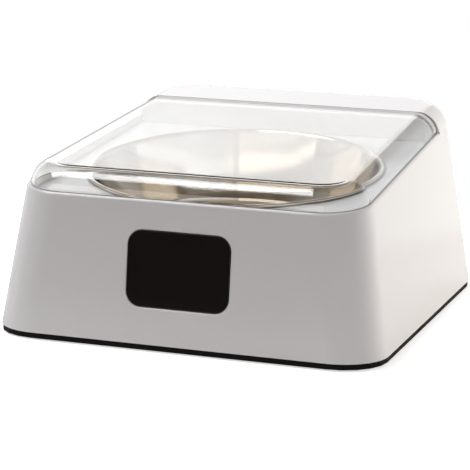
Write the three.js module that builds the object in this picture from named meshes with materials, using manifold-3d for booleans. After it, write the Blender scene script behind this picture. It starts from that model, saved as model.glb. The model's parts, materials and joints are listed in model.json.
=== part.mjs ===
// Sensor pet feeder: a wedge housing with a clear lid that a small geared motor opens over a steel bowl.
// Millimetres, +Z up, the front faces -Y, the origin is on the floor under the middle of the base.
import * as THREE from "three";
import { mergeVertices } from "three/addons/utils/BufferGeometryUtils.js";
import Module from "manifold-3d";

const wasm = await Module();
wasm.setup();

// Steel bowl and its well
const bowlRim = 89.8;
const bowlFlange = 3.8;
const bowlDepth = 52;
const bowlHeel = 16;
const bowlLeanAngle = 12;
const bowlWall = 1;
const rimRoll = 1;
const wellGap = 1.2;
const wellWall = 2;

// Overall form of the housing: the bowl, and the room left round it at the floor
const sideRoom = 28.2;
const frontRoom = 12.5;
const hingeRoom = 16.5;
const humpDepth = 61.4;
const bodyWidth = 2 * (sideRoom + bowlRim);
const bodyDepth = frontRoom + 2 * bowlRim + hingeRoom + humpDepth;
const bodyCorner = 29;
const bodyWall = 2.5;
const skirtHeight = 4.2;
const slopeHeight = 99.4;
const slopeAngle = 5.65;
const sideLeanAngle = 8.9;
const frontLeanAngle = 4.85;
const rearLeanAngle = 7.3;
const ledgeChamfer = 1;

// Clearances and the overrun of a cut
const fit = 0.3;
const seamGap = 0.5;
const overrun = 4;

// Clear lid and the seam between it and the hump
const lidHeight = 13;
const lidFillet = 12;
const lidInset = 1.6;
const lidWall = 2.2;
const pivotBack = 5.6;
const pivotDrop = 7;
const earThickness = 9.4;
const earSetback = 0.8;
const earRadius = 4;

// Sloping deck and hinge cover
const deckDrop = 4.7;
const coverReach = 6.1;
const coverWall = 1.7;
const coverHookWall = 1;
const coverRound = 1.5;
const coverEndWall = 3;
const troughTopAngle = 62;
const troughFootAngle = -24;

// Sensor window and what sits behind it
const windowWidth = 62.5;
const windowHeight = 44.7;
const windowCorner = 9;
const windowRiseShare = 0.457;
const windowFlange = 2;
const windowFlangeWall = 1.2;
const holderWidth = 54;
const holderHeight = 26;
const holderDepth = 7;
const holderWall = 1.5;
const holderDrop = 7;
const boardThickness = 1.6;
const eyeSpread = 12;
const eyeRadius = 2.5;
const eyeLength = 4.2;
const eyeFlange = 0.5;

// Lid drive: shaft, gears, pins and the bracket that carries them
const shaftRadius = 1.5;
const shaftFlat = 0.5;
const shaftEar = 7.5;
const outerPlateSetback = 16;
const plateSpan = 19.2;
const pinionSetback = 6.5;
const wheelSetback = 4.7;
const gearWidth = 6;
const wheelWidth = 5;
const hubRadius = 2.6;
const hubLength = 9;
const lidGearTeeth = 14;
const idlerTeeth = 20;
const outputTeeth = 14;
const wheelTeeth = 32;
const motorTeeth = 10;
const coarseModule = 0.6;
const fineModule = 0.5;
const gearBacklash = 0.16;
const pressureAngle = 20;
const addendumShare = 0.9;
const dedendumShare = 1.2;
const idlerDirection = -75;
const outputDirection = -60;
const motorDirection = -15;
const sectorLow = -105;
const sectorHigh = 22;
const pinRadius = 1.25;
const runningGap = 0.1;
const bushRadius = 2.7;
const bushFlange = 3.3;
const bushFlangeWall = 0.6;
const plateWall = 2;
const plateHead = 3;
const plateRound = 3.6;
const flangeReach = 18;
const flangeDepth = 16;
const flangeDrop = 12.2;
const motorWidth = 12;
const motorHeight = 10;
const motorGearboxLength = 9;
const motorCanLength = 15;
const motorShaftRadius = 1.1;

// Base plate, feet, battery door and power switch
const baseInset = 1;
const baseBottom = 0.8;
const floorTop = 3.2;
const rimWall = 2.4;
const upstandHeight = 5;
const upstandWall = 1.6;
const footRadius = 9;
const footHeight = 1.5;
const footRecess = 1;
const footSideInset = 34;
const footEndInset = 17;
const cellCount = 4;
const cellRadius = 13.1;
const cellLength = 48.6;
const cellNub = 1.4;
const cellNubRadius = 3.3;
const cellPitch = 27.5;
const cellSide = 0.9;
const leadRise = 3;
const boxRearRoom = 13;
const boxWall = 1.8;
const contactRoom = 3.2;
const contactWall = 0.5;
const contactWidth = 10;
const contactBow = 1.9;
const doorWall = 1.8;
const doorTongue = 1.6;
const doorTongueWall = 0.7;
const ledgeWall = 1.4;
const gripCount = 5;
const switchInset = 34;
const switchMiddle = 34;
const switchWidth = 19;
const switchHeight = 13;
const switchDepth = 13;
const switchFlange = 1.6;
const rockerTiltAngle = 8;
const rockerEndShare = 0.8;
const rockerWaistShare = 0.6;

// Fasteners, bosses, board and cables
const bossSideInset = 17;
const bossFrontInset = 31;
const bossRearInset = 33;
const bossRadius = 4;
const bossTop = 24;
const bossHole = 1.3;
const screwRadius = 1.1;
const baseScrewLength = 12;
const bracketScrewLength = 6;
const screwHeadRadius = 2.8;
const screwHeadHeight = 1.8;
const screwHeadLevel = 1.6;
const padRadius = 5;
const screwSocketShare = 0.45;
const screwCrownShare = 0.9;
const ribWall = 1.6;
const ribDrop = 34;
const ribShares = [-0.326, 0];
const boardWidth = 66;
const boardDepth = 44;
const boardPost = 5;
const boardPostRadius = 2.5;
const boardSide = -20;
const chipTop = 3;
const relayTop = 9;
const socketTop = 7;
const canRadius = 4;
const canTop = 11;
const cableRadius = 1.3;
const cableStepShare = 7;
const cableStandOff = 1.2;

// Facets of the round forms
const cornerSteps = 5;
const filletSteps = 4;
const bowlSteps = 36;
const heelSteps = 3;
const roundSteps = 12;
const screwSteps = 6;
const cableSteps = 6;
const arcSteps = 3;

// Finishes
const finish = (color, roughness, metalness = 0) =>
  new THREE.MeshStandardMaterial({ color, roughness, metalness });
const whitePlastic = finish(0xf1f0f2, 0.22);
const blackPlastic = finish(0x17171a, 0.5);
const glossBlack = finish(0x050506, 0.06);
const clearPlastic = new THREE.MeshStandardMaterial({
  color: 0xf4f8fa,
  roughness: 0.04,
  transparent: true,
  opacity: 0.3,
});
const polishedSteel = finish(0xc9c4bb, 0.12, 1);
const plainSteel = finish(0xa9abad, 0.35, 1);
const brass = finish(0xb9975a, 0.35, 1);
const acetal = finish(0xe9e4d4, 0.45);
const rubber = finish(0x2a2a2c, 0.85);
const board = finish(0x1f6b3a, 0.5);
const cellSleeve = finish(0x3a5a86, 0.35);
const cableSleeve = finish(0x303034, 0.6);
const darkLens = finish(0x1c1418, 0.1);
const clearLens = finish(0xdfe6ea, 0.08);

// Small shape tools
const turn = THREE.MathUtils.degToRad;
const tangent = (angle) => Math.tan(turn(angle));
const cosine = (angle) => Math.cos(turn(angle));
const sine = (angle) => Math.sin(turn(angle));

function solid(geometry) {
  const bare = geometry.clone();
  for (const name of Object.keys(bare.attributes)) {
    if (name !== "position") bare.deleteAttribute(name);
  }
  const merged = mergeVertices(bare, 1e-4);
  const corners = merged.index.array;
  const faces = [];
  for (let i = 0; i < corners.length; i += 3) {
    const [a, b, c] = [corners[i], corners[i + 1], corners[i + 2]];
    if (a !== b && b !== c && c !== a) faces.push(a, b, c);
  }
  return new wasm.Manifold(
    new wasm.Mesh({
      numProp: 3,
      vertProperties: new Float32Array(merged.attributes.position.array),
      triVerts: new Uint32Array(faces),
    }),
  );
}

function join(...solids) {
  return solids.reduce((sum, next) => sum.add(next));
}

function cut(base, ...tools) {
  return tools.reduce((left, tool) => left.subtract(tool), base);
}

function shared(...solids) {
  return solids.reduce((left, next) => left.intersect(next));
}

function geometryOf(made) {
  const found = made.getMesh();
  const geometry = new THREE.BufferGeometry();
  const places = new THREE.Float32BufferAttribute(found.vertProperties, found.numProp);
  geometry.setAttribute("position", places);
  geometry.setIndex(Array.from(found.triVerts));
  const flat = geometry.toNonIndexed();
  flat.computeVertexNormals();
  return flat;
}

function piece(name, made, material) {
  const geometry = made.isBufferGeometry ? made : geometryOf(made);
  const mesh = new THREE.Mesh(geometry, material);
  mesh.name = name;
  return mesh;
}

function block(x, y, z) {
  const box = new THREE.BoxGeometry(x[1] - x[0], y[1] - y[0], z[1] - z[0]);
  return box.translate((x[0] + x[1]) / 2, (y[0] + y[1]) / 2, (z[0] + z[1]) / 2);
}

function outline(points) {
  return new THREE.Shape(points.map(([a, b]) => new THREE.Vector2(a, b)));
}

function circle(middle, radius, steps = roundSteps) {
  return Array.from({ length: steps }, (_, i) => {
    const angle = (i / steps) * 2 * Math.PI;
    return [middle[0] + radius * Math.cos(angle), middle[1] + radius * Math.sin(angle)];
  });
}

function disc(radius, across = 0, up = 0, steps = roundSteps) {
  return outline(circle([across, up], radius, steps));
}

function arc(middle, radius, from, to, steps = arcSteps) {
  const points = [];
  for (let i = 0; i <= steps; i++) {
    const angle = from + ((to - from) * i) / steps;
    points.push([middle[0] + radius * cosine(angle), middle[1] + radius * sine(angle)]);
  }
  return points;
}

function roundedBox(width, height, corner, across = 0, up = 0) {
  const x = width / 2 - corner;
  const y = height / 2 - corner;
  return outline([
    ...arc([across + x, up - y], corner, -90, 0),
    ...arc([across + x, up + y], corner, 0, 90),
    ...arc([across - x, up + y], corner, 90, 180),
    ...arc([across - x, up - y], corner, 180, 270),
  ]);
}

function extruded(shape, length) {
  return new THREE.ExtrudeGeometry(shape, { depth: length, bevelEnabled: false, steps: 1 });
}

// A (y, z) outline along X, an (x, z) outline along Y, and an (x, y) outline along Z
function alongX(shape, from, to) {
  const axes = new THREE.Matrix4().makeBasis(
    new THREE.Vector3(0, 1, 0),
    new THREE.Vector3(0, 0, 1),
    new THREE.Vector3(1, 0, 0),
  );
  return extruded(shape, to - from).applyMatrix4(axes).translate(from, 0, 0);
}

function alongY(shape, from, to) {
  return extruded(shape, to - from).rotateX(Math.PI / 2).translate(0, to, 0);
}

function alongZ(shape, from, to) {
  return extruded(shape, to - from).translate(0, 0, from);
}

function revolved(profile, steps = roundSteps) {
  const doubled = profile.reduce((sum, [r, z], i) => {
    const [nextR, nextZ] = profile[(i + 1) % profile.length];
    return sum + r * nextZ - nextR * z;
  }, 0);
  const ordered = doubled < 0 ? [...profile].reverse() : profile;
  const points = ordered.map(([r, z]) => new THREE.Vector2(r, z));
  if (profile[0][0] !== 0) points.push(points[0].clone());
  return new THREE.LatheGeometry(points, steps).rotateX(Math.PI / 2);
}

function convexOutline(points) {
  const sorted = [...points].sort((p, q) => p[0] - q[0] || p[1] - q[1]);
  const side = (list) => {
    const kept = [];
    for (const p of list) {
      while (kept.length > 1) {
        const [a, b] = kept.slice(-2);
        const bend = (b[0] - a[0]) * (p[1] - a[1]) - (b[1] - a[1]) * (p[0] - a[0]);
        if (bend > 0) break;
        kept.pop();
      }
      kept.push(p);
    }
    return kept.slice(0, -1);
  };
  return outline([...side(sorted), ...side(sorted.reverse())]);
}

function strap(circles) {
  return convexOutline(circles.flatMap(([at, radius]) => circle(at, radius)));
}

// Plan of the housing: a rounded rectangle whose sides lean in with the height
const planCount = 4 * (cornerSteps + 1);
const planSigns = [
  [1, -1],
  [1, 1],
  [-1, 1],
  [-1, -1],
];

function planPoint(index, height, inset) {
  const corner = Math.floor(index / (cornerSteps + 1));
  const share = (index % (cornerSteps + 1)) / cornerSteps;
  const [sideways, lengthways] = planSigns[corner];
  const rise = height - skirtHeight;
  const radius = bodyCorner - inset;
  const angle = (corner - 1 + share) * 90;
  const lean = lengthways < 0 ? frontLeanAngle : rearLeanAngle;
  const x = bodyWidth / 2 - rise * tangent(sideLeanAngle) - inset - radius;
  const y = bodyDepth / 2 - rise * tangent(lean) - inset - radius;
  return new THREE.Vector3(
    sideways * x + radius * cosine(angle),
    lengthways * y + radius * sine(angle),
    height,
  );
}

function planRing(heightAt, inset) {
  let ring = Array.from({ length: planCount }, (_, i) => planPoint(i, heightAt(0), inset));
  for (let pass = 0; pass < 6; pass++) {
    ring = ring.map((point, i) => planPoint(i, heightAt(point.y), inset));
  }
  return ring;
}

function slopePlane(offset) {
  return (y) => slopeHeight + y * tangent(slopeAngle) + offset / cosine(slopeAngle);
}

function loft(rings) {
  const count = rings[0].length;
  const places = rings.flat().flatMap((point) => point.toArray());
  const faces = [];
  for (let i = 1; i + 1 < count; i++) {
    const top = (rings.length - 1) * count;
    faces.push(0, i + 1, i);
    faces.push(top, top + i, top + i + 1);
  }
  for (let level = 0; level + 1 < rings.length; level++) {
    for (let i = 0; i < count; i++) {
      const next = (i + 1) % count;
      const low = level * count;
      const high = low + count;
      faces.push(low + i, low + next, high + next);
      faces.push(low + i, high + next, high + i);
    }
  }
  const geometry = new THREE.BufferGeometry();
  geometry.setAttribute("position", new THREE.Float32BufferAttribute(places, 3));
  geometry.setIndex(faces);
  return geometry;
}

// The sloping frame of the deck, lid, bowl and drive
const slopeMatrix = new THREE.Matrix4()
  .makeTranslation(0, 0, slopeHeight)
  .multiply(new THREE.Matrix4().makeRotationX(turn(slopeAngle)));
const fromSlope = slopeMatrix.clone().invert();
const onSlope = (geometry) => solid(geometry.clone().applyMatrix4(slopeMatrix));
const inSlope = (made) => geometryOf(made).applyMatrix4(fromSlope);

function archedTop(inset, bottom, top, fillet) {
  const rings = [planRing(slopePlane(bottom), inset)];
  for (let i = 0; i <= filletSteps; i++) {
    const angle = (i / filletSteps) * 90;
    const level = top - fillet + fillet * sine(angle);
    rings.push(planRing(slopePlane(level), inset + fillet - fillet * cosine(angle)));
  }
  return solid(loft(rings));
}

const farAway = bodyWidth + bodyDepth;
const behind = (run) => onSlope(block([-farAway, farAway], [run, farAway], [-farAway, farAway]));

// Places on the slope that the bowl, the lid, the cover and the drive share
const bowlRun = frontRoom + bowlRim - bodyDepth / 2;
const seamRun = bowlRun + bowlRim + hingeRoom;
const pivot = [seamRun - pivotBack, lidHeight - pivotDrop];
const lidEdgeReach = Math.hypot(pivotBack - seamGap, pivotDrop);
const troughRadius = lidEdgeReach + fit + fit / 2;
const skinUnder = lidHeight - lidWall;
const hookRadius = pivotDrop - lidWall - fit;
const coverFront = pivot[0] - coverReach;
const recessInset = lidInset + lidWall + fit;
const coverInset = lidInset + lidWall + 2 * fit;
const deckUnder = -deckDrop - bodyWall;
const pivotHeight = slopeHeight + pivot[0] * sine(slopeAngle) + pivot[1] * cosine(slopeAngle);
const lidInside =
  bodyWidth / 2 - (pivotHeight - skirtHeight) * tangent(sideLeanAngle) - lidInset - lidWall;
const earFrom = lidInside - earSetback - earThickness;
const coverHalfWidth = earFrom - 2 * fit;
const shaftEnd = earFrom + shaftEar;
const outerPlate = coverHalfWidth - coverEndWall - outerPlateSetback;
const innerPlate = outerPlate - plateSpan;
const pinionStation = outerPlate - pinionSetback;
const wheelStation = innerPlate + wheelSetback;

function polar(middle, radius, angle) {
  return [middle[0] + radius * cosine(angle), middle[1] + radius * sine(angle)];
}

const lidGearRadius = (coarseModule * lidGearTeeth) / 2;
const idlerRadius = (coarseModule * idlerTeeth) / 2;
const outputRadius = (coarseModule * outputTeeth) / 2;
const wheelRadius = (fineModule * wheelTeeth) / 2;
const motorGearRadius = (fineModule * motorTeeth) / 2;
const idlerPlace = polar(pivot, lidGearRadius + idlerRadius, idlerDirection);
const outputPlace = polar(idlerPlace, idlerRadius + outputRadius, outputDirection);
const motorPlace = polar(outputPlace, wheelRadius + motorGearRadius, motorDirection);
const flangeFront = pivot[0] - flangeReach;
const flangeRear = flangeFront + flangeDepth;
const flangeScrewInset = plateWall / 2 + screwHeadRadius + fit;
const flangeScrews = [innerPlate + flangeScrewInset, outerPlate - flangeScrewInset];
const flangeScrewRun = (flangeFront + flangeRear) / 2 - fit;

// Bowl profile, from the axis up the inside, round the rolled rim and back down the outside
const bowlMouth = bowlRim - bowlFlange;
const rimTop = -deckDrop + fit + 2 * rimRoll;
const bowlFloor = rimTop - bowlDepth;
const wallRun = (bowlDepth - bowlHeel + bowlHeel * sine(bowlLeanAngle)) / cosine(bowlLeanAngle);
const heelMiddle = [
  bowlMouth - bowlHeel * cosine(bowlLeanAngle) - wallRun * sine(bowlLeanAngle),
  bowlFloor + bowlHeel,
];

function dishSide(offset, top) {
  const heel = arc(heelMiddle, bowlHeel + offset, -90, -bowlLeanAngle, heelSteps);
  const climb = (top - heel[heelSteps][1]) * tangent(bowlLeanAngle);
  return [[0, bowlFloor - offset], ...heel, [heel[heelSteps][0] + climb, top]];
}

function bowlSolid() {
  const roll = [bowlRim - rimRoll, rimTop - rimRoll];
  const inside = dishSide(0, rimTop - rimRoll);
  const outside = dishSide(bowlWall, rimTop - 2 * rimRoll).reverse();
  const profile = [
    ...inside,
    [bowlMouth + rimRoll / 2, rimTop - rimRoll / 4],
    [bowlMouth + 2 * rimRoll, rimTop],
    ...arc(roll, rimRoll, 90, -90),
    [bowlRim - 2 * rimRoll, rimTop - bowlWall],
    [bowlMouth + 2 * rimRoll, rimTop - bowlWall],
    ...outside,
  ];
  return revolved(profile, bowlSteps).translate(0, bowlRun, 0);
}

function wellSolid(offset, top) {
  const side = dishSide(offset, top);
  return onSlope(revolved([...side, [0, top]], bowlSteps).translate(0, bowlRun, 0));
}

// Housing: outer form, hollow, deck, well, trough for the lid's rear edge, and bosses
const skirtInset = bodyWall + fit;
const bossSide = bodyWidth / 2 - bossSideInset;
const bossRuns = [bossFrontInset - bodyDepth / 2, 0, bodyDepth / 2 - bossRearInset];
const bossSpots = bossRuns.flatMap((y) => [1, -1].map((side) => [side * bossSide, y]));

function housingSolid() {
  const walls = solid(
    loft([
      planRing(() => skirtHeight, 0),
      planRing(slopePlane(-ledgeChamfer), 0),
      planRing(slopePlane(0), ledgeChamfer),
    ]),
  );
  const humpFoot = solid(
    loft([
      planRing(slopePlane(-2 * ledgeChamfer), ledgeChamfer),
      planRing(slopePlane(-ledgeChamfer), 0),
      planRing(slopePlane(lidHeight - lidFillet), 0),
    ]),
  );
  const arch = archedTop(0, lidHeight - lidFillet - ledgeChamfer / 2, lidHeight, lidFillet);
  const hump = shared(join(humpFoot, arch), behind(seamRun));
  const outer = join(walls, hump);

  const hollow = solid(
    loft([
      planRing(() => skirtHeight - overrun, bodyWall),
      planRing(slopePlane(deckUnder), bodyWall),
    ]),
  );
  const troughBack = pivot[0] + troughRadius + bodyWall;
  const humpHollow = shared(
    archedTop(bodyWall, deckUnder - overrun, lidHeight - bodyWall, lidFillet - bodyWall),
    behind(troughBack),
  );
  const shell = cut(outer, hollow, humpHollow);

  const troughWall = onSlope(
    alongX(
      outline([
        ...arc(pivot, troughRadius - fit, troughTopAngle, troughFootAngle, 2 * arcSteps),
        ...arc(pivot, troughRadius + bodyWall - fit, troughFootAngle, troughTopAngle, 2 * arcSteps),
      ]),
      -bodyWidth / 2,
      bodyWidth / 2,
    ),
  );
  const bosses = bossSpots.map(([x, y]) => {
    const post = alongZ(disc(bossRadius, x, y), skirtHeight + floorTop, bossTop);
    const side = Math.sign(x) * bodyWidth;
    const rib = block(
      [Math.min(x, side), Math.max(x, side)],
      [y - ribWall / 2, y + ribWall / 2],
      [skirtHeight + upstandHeight + overrun, bossTop],
    );
    return join(solid(post), solid(rib));
  });
  const deckRibs = ribShares.map((share) =>
    solid(
      block(
        [-bodyWidth, bodyWidth],
        [share * bodyDepth - ribWall / 2, share * bodyDepth + ribWall / 2],
        [slopeHeight - ribDrop, slopeHeight],
      ),
    ),
  );
  const flangeBosses = flangeScrews.map((x) =>
    onSlope(alongZ(disc(bossRadius, x, flangeScrewRun), fit - flangeDrop, deckUnder + fit)),
  );
  const well = wellSolid(bowlWall + wellGap + wellWall, deckUnder + fit);
  const belowDeck = solid(
    loft([
      planRing(() => skirtHeight, bodyWall / 2),
      planRing(slopePlane(deckUnder + fit), bodyWall / 2),
    ]),
  );
  const inHump = archedTop(
    bodyWall / 2,
    -pivotDrop,
    lidHeight - bodyWall / 2,
    lidFillet - bodyWall / 2,
  );
  const posts = shared(join(...bosses, ...flangeBosses, ...deckRibs), belowDeck);
  const moulded = join(shell, posts, shared(troughWall, inHump), well);

  const recess = shared(
    archedTop(recessInset, -deckDrop, lidHeight, bodyWall),
    onSlope(block([-farAway, farAway], [-farAway, seamRun], [-deckDrop, farAway])),
  );
  const wellRoom = wellSolid(bowlWall + wellGap, overrun);
  const trough = shared(
    onSlope(alongX(disc(troughRadius, ...pivot, 2 * roundSteps), -farAway, farAway)),
    archedTop(lidInset - fit, -pivotDrop - overrun, lidHeight + fit, lidFillet),
  );
  const driveSlot = onSlope(
    block(
      [innerPlate - plateWall, outerPlate + plateWall],
      [idlerPlace[0] - idlerRadius - 2 * coarseModule, troughBack + overrun],
      [deckUnder - overrun, pivot[1] + troughRadius * sine(troughFootAngle) - fit],
    ),
  );
  const shallow = pivot[1] - troughRadius - fit;
  const coverWell = onSlope(
    block([fit - bodyWidth / 4, bodyWidth / 4], [coverFront + coverWall + fit, seamRun], [shallow, 0]),
  );
  const windowHole = inFront(
    alongY(roundedBox(windowWidth, windowHeight, windowCorner), -overrun, bodyWall + overrun),
  );
  const switchHole = inRear(
    alongY(
      roundedBox(switchWidth, switchHeight, ledgeChamfer, switchSide, 0),
      -bodyWall - overrun,
      overrun,
    ),
  );
  const screwHoles = bossSpots.map(([x, y]) =>
    solid(alongZ(disc(bossHole, x, y, screwSteps), skirtHeight, bossTop - bodyWall)),
  );
  const flangeHoles = flangeScrews.map((x) =>
    onSlope(
      alongZ(disc(bossHole, x, flangeScrewRun, screwSteps), -flangeDrop, deckUnder - fit),
    ),
  );
  return cut(
    moulded,
    recess,
    wellRoom,
    trough,
    driveSlot,
    coverWell,
    windowHole,
    switchHole,
    ...screwHoles,
    ...flangeHoles,
  );
}

// Leaning frames of the front and rear walls: x across, y inwards or outwards, z up the wall
const windowMiddle = skirtHeight + windowRiseShare * (slopeHeight - skirtHeight);
const switchSide = switchInset - bodyWidth / 2;
const frontMatrix = new THREE.Matrix4()
  .makeTranslation(
    0,
    -bodyDepth / 2 + (windowMiddle - skirtHeight) * tangent(frontLeanAngle),
    windowMiddle,
  )
  .multiply(new THREE.Matrix4().makeRotationX(-turn(frontLeanAngle)));
const rearMatrix = new THREE.Matrix4()
  .makeTranslation(
    0,
    bodyDepth / 2 - (switchMiddle - skirtHeight) * tangent(rearLeanAngle),
    switchMiddle,
  )
  .multiply(new THREE.Matrix4().makeRotationX(turn(rearLeanAngle)));
const inFront = (geometry) => solid(geometry.clone().applyMatrix4(frontMatrix));
const inRear = (geometry) => solid(geometry.clone().applyMatrix4(rearMatrix));

// Lid: clear shell, open at the rear, with an ear for each end of the hinge
function keyedShaft(radius, from, to, flatFrom, flatTo) {
  const round = solid(alongX(disc(radius, ...pivot), from, to));
  const flat = solid(
    block(
      [Math.min(flatFrom, flatTo), Math.max(flatFrom, flatTo)],
      [pivot[0] - 2 * radius, pivot[0] + 2 * radius],
      [pivot[1] + radius - shaftFlat, pivot[1] + 2 * radius],
    ),
  );
  return cut(round, flat);
}

function lidSolid() {
  const rear = seamRun - seamGap;
  const outer = cut(archedTop(lidInset, fit, lidHeight, lidFillet), behind(rear));
  const inner = archedTop(lidInset + lidWall, fit - overrun, skinUnder, lidFillet - lidWall);
  const earOutline = [
    solid(alongX(disc(earRadius, ...pivot), 0, earThickness)),
    solid(
      block(
        [0, earThickness],
        [pivot[0] - earRadius / 2, pivot[0] + earRadius / 2],
        [pivot[1], lidHeight - lidWall / 2],
      ),
    ),
  ];
  const earForm = geometryOf(join(...earOutline));
  const earHole = geometryOf(
    keyedShaft(shaftRadius + runningGap, -overrun, shaftEar + fit, -overrun, shaftEar + overrun),
  );
  const sides = [1, -1].map((side) => {
    const place = (geometry) => {
      const across = side > 0 ? earFrom : -earFrom - earThickness;
      return onSlope(geometry.clone().translate(across, 0, 0));
    };
    const ear = shared(place(earForm), outer);
    const across = side > 0 ? earHole : mirrored(earHole, earThickness);
    return { ear, hole: place(across) };
  });
  const shell = join(cut(outer, inner), ...sides.map((side) => side.ear));
  return inSlope(cut(shell, ...sides.map((side) => side.hole)));
}

function mirrored(geometry, width) {
  const turned = geometry.clone().scale(-1, 1, 1).translate(width, 0, 0);
  const index = Array.from({ length: turned.attributes.position.count }, (_, i) =>
    i % 3 === 0 ? i : i % 3 === 1 ? i + 1 : i - 1,
  );
  turned.setIndex(index);
  return turned.toNonIndexed();
}

// Hinge cover: front wall, band over the shaft and a hook behind it, with a bearing wall at each end
function coverSolid() {
  const floor = fit - deckDrop - pivot[1];
  const frontTop = arc([coverRound - coverReach, hookRadius - coverRound], coverRound, 180, 90);
  const inner = hookRadius - coverHookWall;
  const section = [
    [-coverReach, floor],
    ...frontTop,
    ...arc([0, 0], hookRadius, 90, 0, arcSteps),
    ...arc([0, 0], inner, 0, 90, arcSteps),
    [coverWall - coverReach, inner],
    [coverWall - coverReach, floor],
  ];
  const front = [
    [-coverReach, floor],
    ...frontTop,
    [coverWall - coverReach, hookRadius],
    [coverWall - coverReach, floor],
  ];
  const end = [
    [-coverReach, floor],
    ...frontTop,
    ...arc([0, 0], hookRadius, 90, 0, arcSteps),
    [hookRadius, floor],
  ];
  const shift = ([y, z]) => [y + pivot[0], z + pivot[1]];
  const run = (points, from, to) => onSlope(alongX(outline(points.map(shift)), from, to));
  const bar = run(section, -coverHalfWidth, coverHalfWidth);
  const plate = run(front, -bodyWidth / 2, bodyWidth / 2);
  const innerEnd = coverHalfWidth - coverEndWall;
  const ends = [run(end, innerEnd, coverHalfWidth), run(end, -coverHalfWidth, -innerEnd)];
  const arch = archedTop(coverInset, floor, skinUnder, lidFillet - lidWall);
  const bore = onSlope(alongX(disc(bushRadius + fit, ...pivot), -farAway, farAway));
  const gearTip = lidGearRadius + coarseModule + fit;
  const gearRoom = shared(
    onSlope(alongX(disc(gearTip, ...pivot), gearFrom - fit, gearTo + fit)),
    onSlope(
      block(
        [gearFrom - fit, gearTo + fit],
        [-farAway, farAway],
        [-farAway, pivot[1] + hubRadius],
      ),
    ),
  );
  return inSlope(cut(shared(join(bar, plate, ...ends), arch), bore, gearRoom));
}

// Gears: involute flanks on a tooth centred on angle zero
function gearOutline(teeth, module) {
  const pitch = (module * teeth) / 2;
  const base = pitch * cosine(pressureAngle);
  const tip = pitch + addendumShare * module;
  const root = pitch - dedendumShare * module;
  const spread = (radius) => {
    const lean = Math.acos(Math.min(1, base / Math.max(radius, base)));
    return Math.tan(lean) - lean;
  };
  const half = (Math.PI * module) / 4 / pitch - gearBacklash / 2 / pitch;
  const halfAt = (radius) => half + spread(pitch) - spread(radius);
  const flank = [root, pitch, tip];
  const points = [];
  for (let tooth = 0; tooth < teeth; tooth++) {
    const middle = (tooth / teeth) * 2 * Math.PI;
    const place = (radius, angle) => [
      radius * Math.cos(middle + angle),
      radius * Math.sin(middle + angle),
    ];
    for (const radius of flank) points.push(place(radius, -halfAt(radius)));
    for (const radius of [...flank].reverse()) points.push(place(radius, halfAt(radius)));
  }
  return points;
}

function gearSolid(teeth, module, place, phase, from, to) {
  const spun = gearOutline(teeth, module).map(([y, z]) => [
    place[0] + y * cosine(phase) - z * sine(phase),
    place[1] + y * sine(phase) + z * cosine(phase),
  ]);
  return solid(alongX(outline(spun), from, to));
}

// The phase that sets a gap of the next gear on the tooth of the one before it
function meshedPhase(phase, teeth, direction, nextTeeth) {
  return direction + 180 - ((phase - direction) * teeth) / nextTeeth + 180 / nextTeeth;
}

const lidPhase = idlerDirection;
const idlerPhase = meshedPhase(lidPhase, lidGearTeeth, idlerDirection, idlerTeeth);
const outputPhase = meshedPhase(idlerPhase, idlerTeeth, outputDirection, outputTeeth);
const wheelPhase = motorDirection;
const motorPhase = meshedPhase(wheelPhase, wheelTeeth, motorDirection, motorTeeth);
const cylinderX = (radius, place, from, to) => solid(alongX(disc(radius, ...place), from, to));
const gearFrom = pinionStation - gearWidth / 2;
const gearTo = pinionStation + gearWidth / 2;
const wheelFrom = wheelStation - wheelWidth / 2;
const wheelTo = wheelStation + wheelWidth / 2;
const innerFace = innerPlate + plateWall / 2;
const outerFace = outerPlate - plateWall / 2;

function lidGearSolid() {
  const reach = 2 * lidGearRadius;
  const sector = [pivot, ...arc(pivot, reach, sectorLow, sectorHigh, arcSteps)];
  const toothed = shared(
    gearSolid(lidGearTeeth, coarseModule, pivot, lidPhase, gearFrom, gearTo),
    solid(alongX(outline(sector), gearFrom, gearTo)),
  );
  const hub = cylinderX(hubRadius, pivot, pinionStation - hubLength / 2, pinionStation + hubLength / 2);
  return cut(join(toothed, hub), keyedShaft(shaftRadius + runningGap, 0, farAway, 0, farAway));
}

function idlerSolid() {
  const gear = gearSolid(idlerTeeth, coarseModule, idlerPlace, idlerPhase, gearFrom, gearTo);
  const hub = cylinderX(hubRadius, idlerPlace, gearFrom - fit, outerFace - fit);
  return cut(join(gear, hub), cylinderX(pinRadius + runningGap, idlerPlace, 0, farAway));
}

function outputSolid() {
  const pinion = gearSolid(outputTeeth, coarseModule, outputPlace, outputPhase, wheelTo, gearTo);
  const wheel = gearSolid(wheelTeeth, fineModule, outputPlace, wheelPhase, wheelFrom, wheelTo);
  const hub = cylinderX(hubRadius, outputPlace, innerFace + fit, outerFace - fit);
  const bore = cylinderX(pinRadius + runningGap, outputPlace, 0, farAway);
  return cut(join(pinion, wheel, hub), bore);
}

function motorPinionSolid() {
  const from = innerPlate - plateWall / 2 - fit;
  const gear = gearSolid(motorTeeth, fineModule, motorPlace, motorPhase, wheelFrom, wheelTo);
  return join(gear, cylinderX(motorShaftRadius, motorPlace, from, wheelTo + fit));
}

function shaftSolid() {
  return keyedShaft(
    shaftRadius,
    innerPlate - plateWall / 2,
    shaftEnd,
    pinionStation - hubLength / 2 - fit,
    shaftEnd + overrun,
  );
}

function pivotPinSolid() {
  const innerEnd = coverHalfWidth - coverEndWall;
  const pin = keyedShaft(shaftRadius, -shaftEnd, overrun - innerEnd, -farAway, -earFrom);
  const collar = cylinderX(bushRadius, pivot, overrun - innerEnd - fit, 2 * overrun - innerEnd);
  return join(pin, collar);
}

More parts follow.
